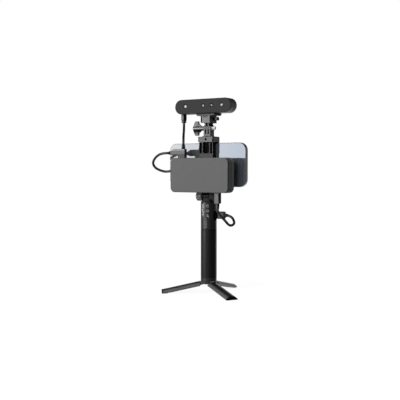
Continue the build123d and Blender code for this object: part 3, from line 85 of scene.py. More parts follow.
def tones(tree, factor, stops):
    """Colour ramp from (position, colour) stops."""
    ramp = tree.nodes.new("ShaderNodeValToRGB")
    while len(ramp.color_ramp.elements) < len(stops):
        ramp.color_ramp.elements.new(0.5)
    for element, (position, color) in zip(ramp.color_ramp.elements, stops):
        element.position = position
        element.color = (*color, 1)
    tree.links.new(factor, ramp.inputs["Fac"])
    return ramp


def mapped(tree, value, start, end, low, high, smooth=False):
    """Carries a value from the span between start and end to the one between low and high, clamped."""
    span = tree.nodes.new("ShaderNodeMapRange")
    if smooth:
        span.interpolation_type = "SMOOTHSTEP"
    span.inputs["From Min"].default_value = start
    span.inputs["From Max"].default_value = end
    span.inputs["To Min"].default_value = low
    span.inputs["To Max"].default_value = high
    tree.links.new(value, span.inputs["Value"])
    return span.outputs["Result"]


def spread_of(tree, factor, low, high):
    return mapped(tree, factor, 0.0, 1.0, low, high)


def between(tree, value, low, high):
    """0 below low, 1 above high."""
    return mapped(tree, value, low, high, 0.0, 1.0)


def split_of(tree, vector):
    """Separates a vector into its X, Y and Z outputs."""
    node = tree.nodes.new("ShaderNodeSeparateXYZ")
    tree.links.new(vector, node.inputs["Vector"])
    return node.outputs


def vector_math(tree, operation, vector, other=None):
    node = tree.nodes.new("ShaderNodeVectorMath")
    node.operation = operation
    tree.links.new(vector, node.inputs[0])
    if other is not None:
        node.inputs[1].default_value = other
    return node.outputs["Value" if operation in ("LENGTH", "DOT_PRODUCT") else "Vector"]


def relief_of(tree, shader, height, strength, distance):
    bump = tree.nodes.new("ShaderNodeBump")
    bump.inputs["Strength"].default_value = strength
    bump.inputs["Distance"].default_value = distance
    tree.links.new(height, bump.inputs["Height"])
    tree.links.new(bump.outputs["Normal"], shader.inputs["Normal"])


def darker(tree, color, factor, level):
    """Multiply a colour by a level wherever the factor is 1."""
    mix = tree.nodes.new("ShaderNodeMix")
    mix.data_type = "RGBA"
    mix.blend_type = "MULTIPLY"
    tree.links.new(factor, mix.inputs[0])
    tree.links.new(color, mix.inputs[6])
    mix.inputs[7].default_value = (level, level, level, 1)
    return mix.outputs[2]


def calculated(tree, operation, a, b):
    node = tree.nodes.new("ShaderNodeMath")
    node.operation = operation
    for socket, value in zip(node.inputs, (a, b)):
        if isinstance(value, (int, float)):
            socket.default_value = value
        else:
            tree.links.new(value, socket)
    return node.outputs[0]


def zone_share(tree, facing, position, limits):
    """1 where each limit (axis, from, to) is met: places in millimetres, normals as N and the axis."""
    share = None
    for axis, start, end in limits:
        if axis.startswith("N"):
            part = between(tree, facing[axis[1]], start, end)
        else:
            part = between(tree, position[axis], start * MM, end * MM)
        share = part if share is None else calculated(tree, "MULTIPLY", share, part)
    return share


# Spans of the painted shade: on upright bevels, on the +X side and in recesses
SHADED_BEVEL_SPAN = (0.05, 0.35)  # product of the normal's X and Y
SHADED_FLANK_SPAN = (0.85, 0.98)  # X of the normal
SHADED_CREVICE_REACH = 8 * MM
SHADED_CREVICE_SPAN = (0.9, 0.5)  # share of open sky
GLOSS_DRIFT = 0.05
GRAIN_HEIGHT = 0.4 * MM


def plastic(
    name, color, rough=0.5, grain=1000.0, depth=0.06, spread=0.07, specular=0.2, edge=1.0,
    flank_shade=1.0, crevice_shade=1.0, zones=(), dulled=False,
):
    """Moulded plastic: faint mottling, a fine spark-eroded grain and uneven gloss.

    edge, flank and crevice multiply the colour on upright bevels, on the +X side and in recesses,
    which paints shade there. Each zone is a level followed by the limits of the stretch that it is
    multiplied into; most zones paint shade, below 1, or a highlight, above 1. With dulled the dark
    zones lose their gloss as well.
    """
    mat, tree, shader, place = new_material(name)
    cloud = noise(tree, place, 60.0, 4.0, 0.55)
    stops = [(0.3, shade(color, 1 - spread)), (0.7, shade(color, 1 + spread))]
    paint = tones(tree, cloud.outputs["Fac"], stops).outputs["Color"]
    facing = split_of(tree, place.outputs["Normal"])
    gleam = None
    # Painted shade on upright bevels
    if edge != 1.0:
        corner = calculated(tree, "MULTIPLY", facing["X"], facing["Y"])
        bevel = calculated(tree, "ABSOLUTE", corner, 0.0)
        paint = darker(tree, paint, between(tree, bevel, *SHADED_BEVEL_SPAN), edge)
    # Painted shade on the faces turned to +X
    if flank_shade != 1.0:
        paint = darker(tree, paint, between(tree, facing["X"], *SHADED_FLANK_SPAN), flank_shade)
    # Zones: mostly painted shade below 1 and painted highlight above 1; dulled also takes gloss from
    # the dark ones
    if zones:
        position = split_of(tree, place.outputs["Object"])
        for level, *limits in zones:
            share = zone_share(tree, facing, position, limits)
            paint = darker(tree, paint, share, level)
            if dulled and level < 1:
                kept = calculated(tree, "ADD", calculated(tree, "MULTIPLY", share, level - 1), 1.0)
                gleam = kept if gleam is None else calculated(tree, "MULTIPLY", gleam, kept)
    # Painted shade in recesses, from ambient occlusion
    if crevice_shade != 1.0:
        hollow = tree.nodes.new("ShaderNodeAmbientOcclusion")
        hollow.only_local = True
        hollow.samples = 8
        hollow.inputs["Distance"].default_value = SHADED_CREVICE_REACH
        crevice_shade_share = between(tree, hollow.outputs["AO"], *SHADED_CREVICE_SPAN)
        paint = darker(tree, paint, crevice_shade_share, crevice_shade)
    tree.links.new(paint, shader.inputs["Base Color"])
    grains = noise(tree, place, grain, 2.0, 0.6)
    gloss = spread_of(tree, grains.outputs["Fac"], rough - GLOSS_DRIFT, rough + GLOSS_DRIFT)
    tree.links.new(gloss, shader.inputs["Roughness"])
    relief_of(tree, shader, grains.outputs["Fac"], depth, GRAIN_HEIGHT)
    shine = shader.inputs["Specular IOR Level"]
    if gleam is None:
        shine.default_value = specular
    else:
        tree.links.new(calculated(tree, "MULTIPLY", gleam, specular), shine)
    return mat


def metal(name, color, rough, grain=400.0):
    """Blasted or turned metal: faint mottling and a soft uneven gloss."""
    mat, tree, shader, place = new_material(name)
    clouds = noise(tree, place, grain, 3.0, 0.6)
    stops = [(0.3, shade(color, 0.88)), (0.7, shade(color, 1.1))]
    ramp = tones(tree, clouds.outputs["Fac"], stops)
    tree.links.new(ramp.outputs["Color"], shader.inputs["Base Color"])
    shader.inputs["Metallic"].default_value = 1.0
    gloss = spread_of(tree, clouds.outputs["Fac"], rough - GLOSS_DRIFT, rough + GLOSS_DRIFT)
    tree.links.new(gloss, shader.inputs["Roughness"])
    return mat


MIRROR_TURN = -0.07  # sideways lean of the shading normal, which moves what the glass reflects
MIRROR_METAL = 0.91
MIRROR_GLOSS = (0.015, 0.03)
GLINT_STOPS = (0.0, 0.54, 0.76, 0.95)  # shares of the radius
LENS_GLOSS = (0.08, 0.16)


def mirror_glass(name, left, right, low, high):
    """Polished coated glass whose colour drifts from one end to the other: lighter at one end as a
    painted reflection, bluer at the other as its tint.
    """
    mat, tree, shader, place = new_material(name)
    tint_and_reflection_drift = between(tree, split_of(tree, place.outputs["Object"])["X"], low, high)
    ramp = tones(tree, tint_and_reflection_drift, [(0.0, left), (1.0, right)])
    tree.links.new(ramp.outputs["Color"], shader.inputs["Base Color"])
    shader.inputs["Metallic"].default_value = MIRROR_METAL
    shader.inputs["Specular IOR Level"].default_value = 0.1
    haze = noise(tree, place, 40.0, 2.0)
    tree.links.new(spread_of(tree, haze.outputs["Fac"], *MIRROR_GLOSS), shader.inputs["Roughness"])
    surface = tree.nodes.new("ShaderNodeNewGeometry")
    lean = vector_math(tree, "ADD", surface.outputs["Normal"], (MIRROR_TURN, 0, 0))
    tree.links.new(vector_math(tree, "NORMALIZE", lean), shader.inputs["Normal"])
    return mat


def lens_with_painted_glint(name, centre, middle, edge, radius, coat, shift):
    """Coated lens with a painted glint: a pale spot, off the middle by the shift, that fades to a
    black rim.
    """
    mat, tree, shader, place = new_material(name)
    flat = tree.nodes.new("ShaderNodeMapping")
    flat.inputs["Scale"].default_value = (1, 0, 1)
    flat.inputs["Location"].default_value = (-shift[0] * MM, 0, -shift[1] * MM)
    tree.links.new(place.outputs["Object"], flat.inputs["Vector"])
    share = between(tree, vector_math(tree, "LENGTH", flat.outputs["Vector"]), 0.0, radius)
    ramp = tones(tree, share, list(zip(GLINT_STOPS, (centre, centre, middle, edge))))
    tree.links.new(ramp.outputs["Color"], shader.inputs["Base Color"])
    haze = noise(tree, place, 600.0, 2.0)
    tree.links.new(spread_of(tree, haze.outputs["Fac"], *LENS_GLOSS), shader.inputs["Roughness"])
    shader.inputs["Coat Weight"].default_value = coat
    shader.inputs["Coat Roughness"].default_value = 0.03
    return mat


# Plastics by roughness, scale and strength of the grain, spread of the mottling and specular level
MATS = {
    "grip": plastic("grip_rubber", grey(19), 0.33, 1400, 0.03, specular=0.32),
    "hub": plastic("hub_plastic", grey(34), 0.33, 1200, 0.03, specular=0.5),
    "housing": plastic("housing_satin", grey(32), 0.33, 1400, 0.03, specular=0.45),
    # Painted shade on the upright bevels of the unit's shells
    "unit": plastic("unit_plastic", grey(106), 0.5, 1200, 0.05, 0.025, 0.15, edge=0.1),
    "unit_rear": plastic("unit_rear_plastic", grey(116), 0.5, 1200, 0.05, 0.03, 0.15, edge=0.2),
    # Painted shade on the jaw's upright bevels and in its recesses
    "jaw": plastic("jaw_plastic", grey(120), 0.5, 1000, 0.06, 0.08, edge=0.15, crevice_shade=0.05),
    # Painted shade: black near the top and on faces turned to +X inside the slots, darker in recesses,
    # with less gloss
    "prong": plastic(
        "prong_plastic", grey(120), 0.5, 1000, 0.06, 0.05, crevice_shade=0.02,
        zones=[
            (0.02, ("Z", 297.5, 299.0)),
            (0.0, ("NX", 0.4, 0.7), ("X", 6.5, 6.2), ("Z", 284.2, 285.0)),
        ],
        dulled=True,
    ),
    # Painted shade: black in the middle slot near the top and on faces turned to +X inside, darker
    # underneath, on the +X side and in recesses, with less gloss
    "fork": plastic(
        "fork_plastic", grey(100), 0.5, 1000, 0.06, 0.05, crevice_shade=0.02, flank_shade=0.3,
        zones=[
            (0.02, ("Z", 297.0, 299.0), ("X", -2.0, -1.5), ("X", 1.5, 1.0)),
            (0.1, ("NZ", -0.3, -0.6)),
            (0.0, ("NX", 0.4, 0.7), ("X", 5.2, 4.9)),
        ],
        dulled=True,
    ),
    # Painted shade on the +X side of the plate and of the block
    "plate": plastic("plate_plastic", grey(96), 0.5, 1000, 0.06, 0.05, flank_shade=0.1),
    "block": plastic("block_plastic", grey(136), 0.5, 1000, 0.05, 0.03, flank_shade=0.5),
    # Painted shade: the middle channel black, darker in recesses, on the +X side, on the front of the
    # left wall and low down, most on the left
    "stem": plastic(
        "stem_plastic", grey(90), 0.5, 1000, 0.04, 0.02, specular=0.02, crevice_shade=0.02, flank_shade=0.05,
        zones=[
            (0.35, ("X", -11.4, -12.2), ("Z", 251.0, 252.0)),
            (0.02, ("X", -6.7, -6.4), ("X", 6.7, 6.4), ("Z", 251.5, 252.5)),
            (0.2, ("Z", 185.0, 183.5), ("X", 2.0, 0.0)),
            (0.8, ("Z", 185.0, 183.5), ("X", 0.0, 2.0)),
        ],
    ),
    "neck": plastic("neck_plastic", grey(16), 0.4, 1000, 0.06, specular=0.15),
    # Painted shade on the bevels between the front and the right end
    "head": plastic(
        "head_plastic", grey(42), 0.35, 1000, 0.01, 0.005, 0.5,
        zones=[(0.5, ("NX", 0.2, 0.4), ("NY", -0.5, -0.7))],
    ),
    "cord": plastic("cord_jacket", grey(24), 0.3, 1600, 0.03, specular=0.5),
    # Painted shade on upright bevels and on faces turned to +X, with less gloss there
    "plug": plastic(
        "plug_plastic", grey(116), 0.45, 1000, 0.05, 0.05, edge=0.3,
        zones=[(0.1, ("NX", 0.3, 0.6))],
        dulled=True,
    ),
    # Painted highlight along the upper edge; painted shade on the top rim, low down, underneath, on
    # the top towards the right, on the bevels and on the +X end; the ring at the left end is dark
    "junction": plastic(
        "junction_plastic", grey(112), 0.4, 1000, 0.04, 0.03, edge=0.4, flank_shade=0.03,
        zones=[
            (2.5, ("Z", 255.2, 255.8), ("Z", 257.5, 257.1)),
            (0.2, ("Z", 257.4, 257.8), ("Z", 258.4, 258.2)),
            (0.42, ("Z", 249.8, 248.8)),
            (0.12, ("Z", 248.4, 247.8), ("X", -46.5, -47.5)),
            (0.06, ("Z", 258.3, 258.7), ("X", -40.5, -38.5)),
            (0.1, ("X", -63.0, -63.6)),
        ],
    ),
    "dark_plug": plastic(
        "dark_plug_plastic", grey(60), 0.4, 1000, 0.06, specular=0.3,
        zones=[(0.02, ("X", 21.4, 20.6), ("Z", 180.0, 170.0))],
        dulled=True,
    ),
    "rubber": plastic("black_rubber", grey(18), 0.8, 900, 0.08, specular=0.1),
    "pad": plastic("pad_rubber", grey(46), 0.7, 900, 0.06, specular=0.1),
    # Painted shade on the upward faces of the legs
    "leg": plastic(
        "leg_plastic", grey(104), 0.22, 1000, 0.02, 0.03, specular=0.4,
        zones=[(0.1, ("NZ", 0.78, 0.93))],
    ),
    "key": plastic("key_plastic", grey(40), 0.4, 1200, 0.05, specular=0.3),
    "light": plastic("light_pipe", grey(110), 0.35, 600, 0.03),
    "mark": plastic("mark_ink", grey(180), 0.45, 600, 0.02),
    "gauge": plastic("gauge_ink", grey(120), 0.45, 600, 0.02),
    "steel": metal("plain_steel", grey(235), 0.16),
    # Painted shade on the +X side, low down and to the right of the lit front
    "knob": plastic(
        "knob_plastic", grey(150), 0.3, 900, 0.05, specular=0.8, flank_shade=0.25,
        zones=[(0.4, ("Z", 172.5, 170.5)), (0.12, ("X", -13.4, -12.0))],
    ),
    # Painted shadow in the gap by the block and painted shade on the +X side, with less gloss; the
    # outer end is darker
    "plate_knob": plastic(
        "plate_knob_plastic", grey(124), 0.35, 900, 0.05, specular=0.35, flank_shade=0.05,
        zones=[(0.01, ("X", 14.2, 13.6)), (0.15, ("X", 17.0, 17.6))],
        dulled=True,
    ),
    # A pale colour in place of the metal nut's reflection, painted shade black at top and bottom and
    # darker next to the prong, with less gloss
    "nut": plastic(
        "nut_painted_reflection", grey(225), 0.3, 900, 0.02, specular=0.6,
        zones=[(0.02, ("Z", 297.2, 297.8)), (0.05, ("Z", 292.4, 291.8)), (0.4, ("X", 9.0, 8.6))],
        dulled=True,
    ),
    # A near-white colour in place of the polished nut's reflection of the white surroundings
    "dome": plastic("nut_dome_painted_reflection", grey(246), 0.25, 900, 0.02, specular=0.8),
    # Painted highlight along the shaft, painted shadow under it, and painted shade above it and on the
    # lower wing, with less gloss in the shade
    "wing": plastic(
        "wing_plastic", grey(110), 0.35, 900, 0.05, specular=0.3,
        zones=[
            (0.5, ("Z", 296.2, 296.6), ("Z", 298.8, 298.0)),
            (2.6, ("Z", 293.5, 294.0), ("Z", 296.4, 296.0)),
            (0.06, ("Z", 293.5, 293.0), ("Z", 287.6, 288.6)),
            (0.4, ("Z", 288.6, 287.6), ("Z", 285.0, 286.2)),
        ],
        dulled=True,
    ),
    "board": plastic("circuit_board", grey(14), 0.4, 400, 0.05),
    "cell": plastic("cell_wrap", (0.03, 0.1, 0.16), 0.35, 300, 0.02),
    "screen": plastic("screen_glass", grey(6), 0.08, 50, 0.0, specular=0.6),
    "frame": metal("phone_frame", grey(116, -0.02), 0.25),
    # Lighter and more neutral at the -X end, a painted reflection; bluer at +X, the glass's tint
    "mirror": mirror_glass(
        "phone_back_glass", (0.71, 0.73, 0.75), (0.53, 0.58, 0.67), -84 * MM, 60 * MM
    ),
    "socket": plastic("socket_black", grey(8), 0.6, 900, 0.05, specular=0.03),
}
USES = {
    "grip": ["grip_sleeve", "handle_cap"],
    "hub": ["hub"],
    "housing": ["control_housing"],
    "socket": ["side_socket", "lens_glasses", "slide_bar", "handle_tube"],
    "unit": ["unit_front_shell"],
    "unit_rear": ["unit_rear_shell"],
    "jaw": ["upper_jaw"],
    "prong": ["prong_base"],
    "fork": ["fork"],
    "plate": ["quick_plate"],
    "block": ["clamp_block"],
    "stem": ["clamp_frame"],
    "neck": ["neck"],
    "head": ["head_front_shell", "head_rear_shell"],
    "cord": ["handle_lead", "loop_lead", "scanner_lead_lower", "scanner_lead_upper"],
    "plug": ["lower_plug", "head_plug"],
    "junction": ["junction"],
    "dark_plug": ["handle_plug", "back_plug"],
    "rubber": [
        "foot_back", "foot_left", "foot_right", "lower_jaw_pad", "upper_jaw_pad",
        "plate_cushion", "clamp_cheek", "unit_bracket",
    ],
    "leg": ["leg_back", "leg_left", "leg_right"],
    "key": ["key_upper", "key_middle", "key_lower"],
    "light": ["indicator_lights"],
    "steel": ["leg_pins", "neck_screw", "tilt_nut", "return_spring", "mount_screw"],
    "nut": ["thumb_nut"],
    "knob": ["tilt_knob"],
    "plate_knob": ["plate_knob"],
    "wing": ["thumb_screw"],
    "board": ["control_board", "unit_board", "camera_board"],
    "cell": ["battery_cell", "unit_cell"],
    "screen": ["phone_screen"],
    "frame": ["phone_body"],
    "mirror": ["phone_back"],
}
for key, names in USES.items():
    for name in names:
        data = nodes[name].data
        data.materials.clear()
        data.materials.append(MATS[key])


# Mesh helpers


def mesh_object(name, verts, faces, mat, smooth=True):
    data = bpy.data.meshes.new(name)
    data.from_pydata([tuple(v) for v in verts], [], faces)
    data.validate()
    data.materials.append(mat)
    for poly in data.polygons:
        poly.use_smooth = smooth and len(poly.vertices) < 6
    obj = bpy.data.objects.new(name, data)
    scene.collection.objects.link(obj)
    return obj


def spokes(side, other, radius, count):
    """Vectors from the middle of a circle to points evenly round it."""
    turns = [2 * math.pi * k / count for k in range(count)]
    return [(side * math.cos(turn) + other * math.sin(turn)) * radius for turn in turns]


def skin_faces(rings, sides):
    """Quads between successive rings of vertices, and a cap on each end."""
    faces = []
    for i in range(rings - 1):
        for k in range(sides):
            a, b = i * sides + k, i * sides + (k + 1) % sides
            faces.append((a, b, b + sides, a + sides))
    faces.append(tuple(range(sides - 1, -1, -1)))
    faces.append(tuple(range((rings - 1) * sides, rings * sides)))
    return faces


def route_line(points):
    """Points along the smooth line that a route of control points gives, in metres."""
    data = bpy.data.curves.new("route", "CURVE")
    data.dimensions = "3D"
    spline = data.splines.new("NURBS")
    spline.points.add(len(points) - 1)
    for point, place in zip(spline.points, points):
        point.co = (place[0] * MM, place[1] * MM, place[2] * MM, 1)
    spline.order_u = 3
    spline.use_endpoint_u = True
    spline.resolution_u = 10
    holder = bpy.data.objects.new("route", data)
    scene.collection.objects.link(holder)
    traced = bpy.data.meshes.new_from_object(holder)
    line = [v.co.copy() for v in traced.vertices]
    bpy.data.objects.remove(holder)
    return line


def tube(name, line, radius, mat, sides=18):
    """Round lead that follows a line without twisting."""
    verts = []
    side = None
    for i, here in enumerate(line):
        ahead = (line[min(i + 1, len(line) - 1)] - line[max(i - 1, 0)]).normalized()
        if side is None:
            side = ahead.orthogonal().normalized()
        side = (side - ahead * side.dot(ahead)).normalized()
        verts += [here + spoke for spoke in spokes(side, ahead.cross(side), radius, sides)]
    return mesh_object(name, verts, skin_faces(len(line), sides), mat)


# Leads: the routes of the CAD, in millimetres, with both loops moved a little to the photographed ones
LEAD_RADIUS = 2.25 * MM
PORT_LINE = -24.5
HANDLE_EXIT = (33.0, PORT_LINE, 153.1)
HANDLE_END = (39.0, 0.0, 140.8)
HANDLE_BOW = 21.3
HANDLE_SAG = 17.3
fall = HANDLE_EXIT[2] - HANDLE_END[2]
handle_route = [
    HANDLE_EXIT,
    (HANDLE_EXIT[0], PORT_LINE, HANDLE_EXIT[2] - 0.43 * fall),
    (HANDLE_EXIT[0] + 0.19 * HANDLE_BOW, PORT_LINE + 1, HANDLE_EXIT[2] - 0.86 * fall),
    (HANDLE_EXIT[0] + 0.565 * HANDLE_BOW, PORT_LINE + 4, HANDLE_EXIT[2] - 1.585 * fall),
    (HANDLE_END[0] + 0.64 * HANDLE_BOW, 0.69 * PORT_LINE, HANDLE_END[2] - HANDLE_SAG),
    (HANDLE_END[0] + 0.885 * HANDLE_BOW, 0.39 * PORT_LINE, HANDLE_END[2] - 0.83 * HANDLE_SAG),
    (HANDLE_END[0] + 0.685 * HANDLE_BOW, 0.12 * PORT_LINE, HANDLE_END[2] - 0.51 * HANDLE_SAG),
    (HANDLE_END[0] + 0.38 * HANDLE_BOW, 0, HANDLE_END[2] - 0.12 * HANDLE_SAG),
    HANDLE_END,
]
LOOP_EXIT = (-69.9, PORT_LINE, 251.2)
LOOP_END = (-65.0, -9.2, 219.0)
LOOP_BOW = 40.2
LOOP_SAG = 1.7
drop = LOOP_EXIT[2] - LOOP_END[2]
back = LOOP_END[1] - LOOP_EXIT[1]
loop_route = [
    (LOOP_EXIT[0] - out * LOOP_BOW, PORT_LINE + behind * back, LOOP_EXIT[2] - down * drop)
    for out, behind, down in (
        (0, 0, 0), (0.29, 0, 0), (0.61, 0.08, 0.1), (0.89, 0.27, 0.35), (1, 0.44, 0.61),
        (0.89, 0.61, 0.85), (0.62, 0.83, 1), (0.38, 0.98, 1 + LOOP_SAG / drop), (0.125, 1, 1),
    )
] + [LOOP_END]
SCANNER_EXIT = Vector((-38.0, PORT_LINE, 266.1))
SCANNER_END = Vector((-53.0, 0.0, 306.5))


def scanner_point(across, up):
    span = SCANNER_END - SCANNER_EXIT
    return SCANNER_EXIT + Vector((across * span.x, across * span.y, up * span.z))


# Shares across and up; the upper half mirrors the lower one, and the pieces meet at the split
SCANNER_BENDS = [(0, 0), (0, 0.13), (0.04, 0.27), (0.22, 0.4)]
SCANNER_SPLIT = (0.64, 0.55)
lower_route = [scanner_point(*b) for b in SCANNER_BENDS + [SCANNER_SPLIT]]
upper_route = [scanner_point(*SCANNER_SPLIT)]
upper_route += [scanner_point(1 - across, 1 - up) for across, up in reversed(SCANNER_BENDS)]

handle_line = route_line(handle_route)
handle_lead = tube("handle_cord", handle_line, LEAD_RADIUS, MATS["cord"])
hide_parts("handle_lead")
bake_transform(handle_lead)
loop_line = route_line(loop_route)
loop_lead = tube("loop_cord", loop_line, LEAD_RADIUS, MATS["cord"])
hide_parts("loop_lead")
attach(loop_lead, "clamp")
upper_line = route_line(upper_route)
upper_lead = tube("scanner_cord_upper", upper_line, LEAD_RADIUS, MATS["cord"])
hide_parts("scanner_lead_upper")
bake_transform(upper_lead)
lower_line = route_line(lower_route)
lower_lead = tube("scanner_cord_lower", lower_line, LEAD_RADIUS, MATS["cord"])
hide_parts("scanner_lead_lower")
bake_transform(lower_lead)


# Small pieces that the CAD leaves to the looks


def placed(obj, body, *replaced):
    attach(obj, body)
    if replaced:
        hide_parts(*replaced)
    return obj


def turned(name, profile, centre, axis, mat, sides=40):
    """Solid of revolution from pairs of (radius, distance along the axis), in millimetres."""
    direction = Vector(axis).normalized()
    side = direction.orthogonal().normalized()
    verts = []
    for radius, along in profile:
        rim = spokes(side, direction.cross(side), radius, sides)
        verts += [(direction * along + spoke) * MM for spoke in rim]
    obj = mesh_object(name, verts, skin_faces(len(profile), sides), mat)
    obj.location = Vector(centre) * MM
    return obj


def slab(name, outline, half_depth, height, edge, mat):
    """Plate across Y with an outline of (x, rise above the height) and rounded edges."""
    verts = [
        (x * MM, y * MM, (height + rise) * MM)
        for y in (-half_depth, half_depth)
        for x, rise in outline
    ]
    count = len(outline)
    faces = [tuple(range(count)), tuple(range(2 * count - 1, count - 1, -1))]
    for k in range(count):
        n = (k + 1) % count
        faces.append((n, k, k + count, n + count))
    obj = mesh_object(name, verts, faces, mat, smooth=False)
    bevel = obj.modifiers.new("edges", "BEVEL")
    bevel.width = edge * MM
    bevel.segments = 2
    return obj


def at_origin(obj):
    """Moves the origin of a piece to the frame's, so that zones given in frame heights fit it."""
    obj.data.transform(Matrix.Translation(obj.location))
    obj.location = (0, 0, 0)
    return obj


def rounded_outline(width, height, radius, steps=8):
    """Counter-clockwise outline of a rounded rectangle about the origin."""
    points = []
    for quarter, (sx, sz) in enumerate(((1, 1), (-1, 1), (-1, -1), (1, -1))):
        cx, cz = sx * (width / 2 - radius), sz * (height / 2 - radius)
        for k in range(steps + 1):
            turn = math.pi / 2 * (quarter + k / steps)
            points.append((cx + radius * math.cos(turn), cz + radius * math.sin(turn)))
    return points


BAND_SUNK = 0.3


def seam_band(name, size, radius, middle, width, proud, mat):
    """Thin gasket that runs around a housing where its two shells meet."""
    verts, faces = [], []
    for grow in (-BAND_SUNK, proud):
        for y in (-width / 2, width / 2):
            for x, z in rounded_outline(size[0] + 2 * grow, size[1] + 2 * grow, radius + grow):
                verts.append((x * MM, y * MM, z * MM))
    count = len(verts) // 4
    for k in range(count):
        n = (k + 1) % count
        for a, b in ((0, 1), (1, 3), (3, 2), (2, 0)):
            faces.append((a * count + k, a * count + n, b * count + n, b * count + k))
    obj = mesh_object(name, verts, faces, mat, smooth=False)
    obj.location = Vector(middle) * MM
    return obj


def bevelled_block(name, low, high, edge, mat):
    """Block between two corners whose edges are rounded over."""
    low, high = Vector(low), Vector(high)
    middle = (low + high) / 2
    half = (high - low) / 2 * MM
    ends = [(-half[axis], half[axis]) for axis in range(3)]
    corners = [(x, y, z) for x in ends[0] for y in ends[1] for z in ends[2]]
    quads = [(0, 1, 3, 2), (4, 6, 7, 5), (0, 4, 5, 1), (2, 3, 7, 6), (0, 2, 6, 4), (1, 5, 7, 3)]
    obj = mesh_object(name, corners, quads, mat, smooth=True)
    obj.location = middle * MM
    bevel = obj.modifiers.new("edges", "BEVEL")
    bevel.width = edge * MM
    bevel.segments = 3
    return obj


FORWARD = (0, -1, 0)
RIGHTWARD = (1, 0, 0)
DOWNWARD = (0, 0, -1)

# Lenses: a dark sleeve and a domed glass with a painted glint, a pale spot in place of the light
# that it returns. Each one has its place across the head, the grey level of its painted glint, its
# coat and the shift of that glint
LENS_HEIGHT = 334.85
LENS_FRONT = -10.4
LENS_RADIUS = 3.5
LENS_DOME = [(0.01, 0.42), (0.9, 0.4), (1.8, 0.32), (2.6, 0.18), (3.3, 0.0), (3.3, -0.5)]
SLEEVE_SHAPE = [
    (2.6, 0.2), (2.75, 0.5), (3.15, 0.55), (3.5, 0.3), (3.55, -0.4), (2.6, -0.4), (2.6, 0.2),
]
LENSES = {
    "left_camera": (-42.8, 188, 0.05, (0.4, -0.5)),
    "projector": (-5.4, 120, 0.05, (0.9, -0.7)),
    "colour_camera": (12.2, 60, 0.0, (0.9, -0.8)),
    "right_camera": (32.6, 176, 0.05, (0.8, -0.9)),
}
for lens, (across, level, coat, shift) in LENSES.items():
    glint, rim = grey(level, 0.03), grey(level * 0.6)
    glass_mat = lens_with_painted_glint(f"{lens}_glass", glint, rim, grey(10), LENS_RADIUS * MM, coat, shift)
    centre = (across, LENS_FRONT, LENS_HEIGHT)
    placed(turned(f"{lens}_lens", LENS_DOME, centre, FORWARD, glass_mat), "head")
    placed(turned(f"{lens}_sleeve", SLEEVE_SHAPE, centre, FORWARD, MATS["socket"]), "head")

# Ribbed relief under the plug of the scanner lead
ribs = [(3.9, 0.0), (3.9, 1.7), (4.7, 2.0), (4.7, 3.6), (3.9, 3.9), (3.8, 5.5)]
ribs += [(4.5, 5.8), (4.5, 7.2), (3.4, 7.5), (2.4, 7.7)]
placed(turned("head_relief_ribs", ribs, (-53.0, 0.0, 313.4), DOWNWARD, MATS["plug"]), "head")

# Gaskets where the shells of the scanner and of the unit meet
head_gasket = seam_band(
    "head_gasket", (116.8, 25.9), 12.9, (-7.0, 1.5, 333.85), 0.5, 0.08, MATS["rubber"]
)
placed(head_gasket, "head")
unit_gasket = seam_band(
    "unit_gasket", (119.6, 61.0), 8.5, (0, PORT_LINE, 211.6), 0.9, 0.1, MATS["rubber"]
)
placed(unit_gasket, "clamp")

# Rubber cheek and plate cushion of the quick-release block, in finer form than the nodes that they
# replace, the black gasket under the prongs, which also stands in for the shade under them, and the
# cap along the top of the jaw
BLOCKS = (
    ("rubber_cheek", (-9.6, -12.3, 304.2), (-7.1, 13.2, 316.6), 0.5, "rubber", "head", "clamp_cheek"),
    ("plate_pad", (-19.2, -12.4, 319.0), (19.2, 12.4, 320.85), 0.4, "pad", "head", "plate_cushion"),
    ("prong_gasket_and_shade", (-9.0, -7.6, 279.2), (8.4, 7.4, 280.9), 0.4, "rubber", "jaw"),
    ("jaw_cap", (-15.7, -11.7, 279.0), (15.7, 9.9, 279.8), 0.3, "jaw", "jaw"),
)
for name, low, high, edge, mat_key, *held in BLOCKS:
    placed(bevelled_block(name, low, high, edge, MATS[mat_key]), *held)

# Sleeve on the shaft of the thumb screw, the web of its wings and the domed end of its nut
TILT_HEIGHT = 295.0
sleeve_shape = [(2.6, 0.0), (3.6, 0.0), (3.9, 0.3), (3.9, 11.6), (3.6, 11.9), (2.6, 11.9)]
sleeve_start = (-19.2, 0.0, TILT_HEIGHT)
thumb_sleeve = turned("thumb_sleeve", sleeve_shape, sleeve_start, RIGHTWARD, MATS["wing"])
placed(at_origin(thumb_sleeve), "thumb_screw")
web = [(-21.4, 10.0), (-20.2, 8.2), (-17.8, 6.2), (-16.2, 4.8), (-14.6, 3.5)]
web_outline = [(-23.0, -10.0), (-23.0, 10.0)] + web + [(x, -rise) for x, rise in reversed(web)]
wing_web = slab("thumb_wing_web", web_outline, 2.2, TILT_HEIGHT, 0.3, MATS["wing"])
placed(wing_web, "thumb_screw")
dome_shape = [(3.5, 0.0), (3.5, 1.2), (3.2, 2.2), (2.4, 3.1), (1.2, 3.6), (0.01, 3.7)]
dome_start = (10.6, 0.0, TILT_HEIGHT)
nut_dome = turned("thumb_nut_dome", dome_shape, dome_start, RIGHTWARD, MATS["dome"])
placed(nut_dome, "thumb_screw")

# Face of the clamping knob
face_shape = [(0.01, 0.25), (2.7, 0.25), (3.15, 0.0), (3.15, -0.3)]
face_centre = (18.5, 2.0, 311.4)
knob_face = turned("plate_knob_face", face_shape, face_centre, RIGHTWARD, MATS["socket"])
placed(knob_face, "plate_knob")

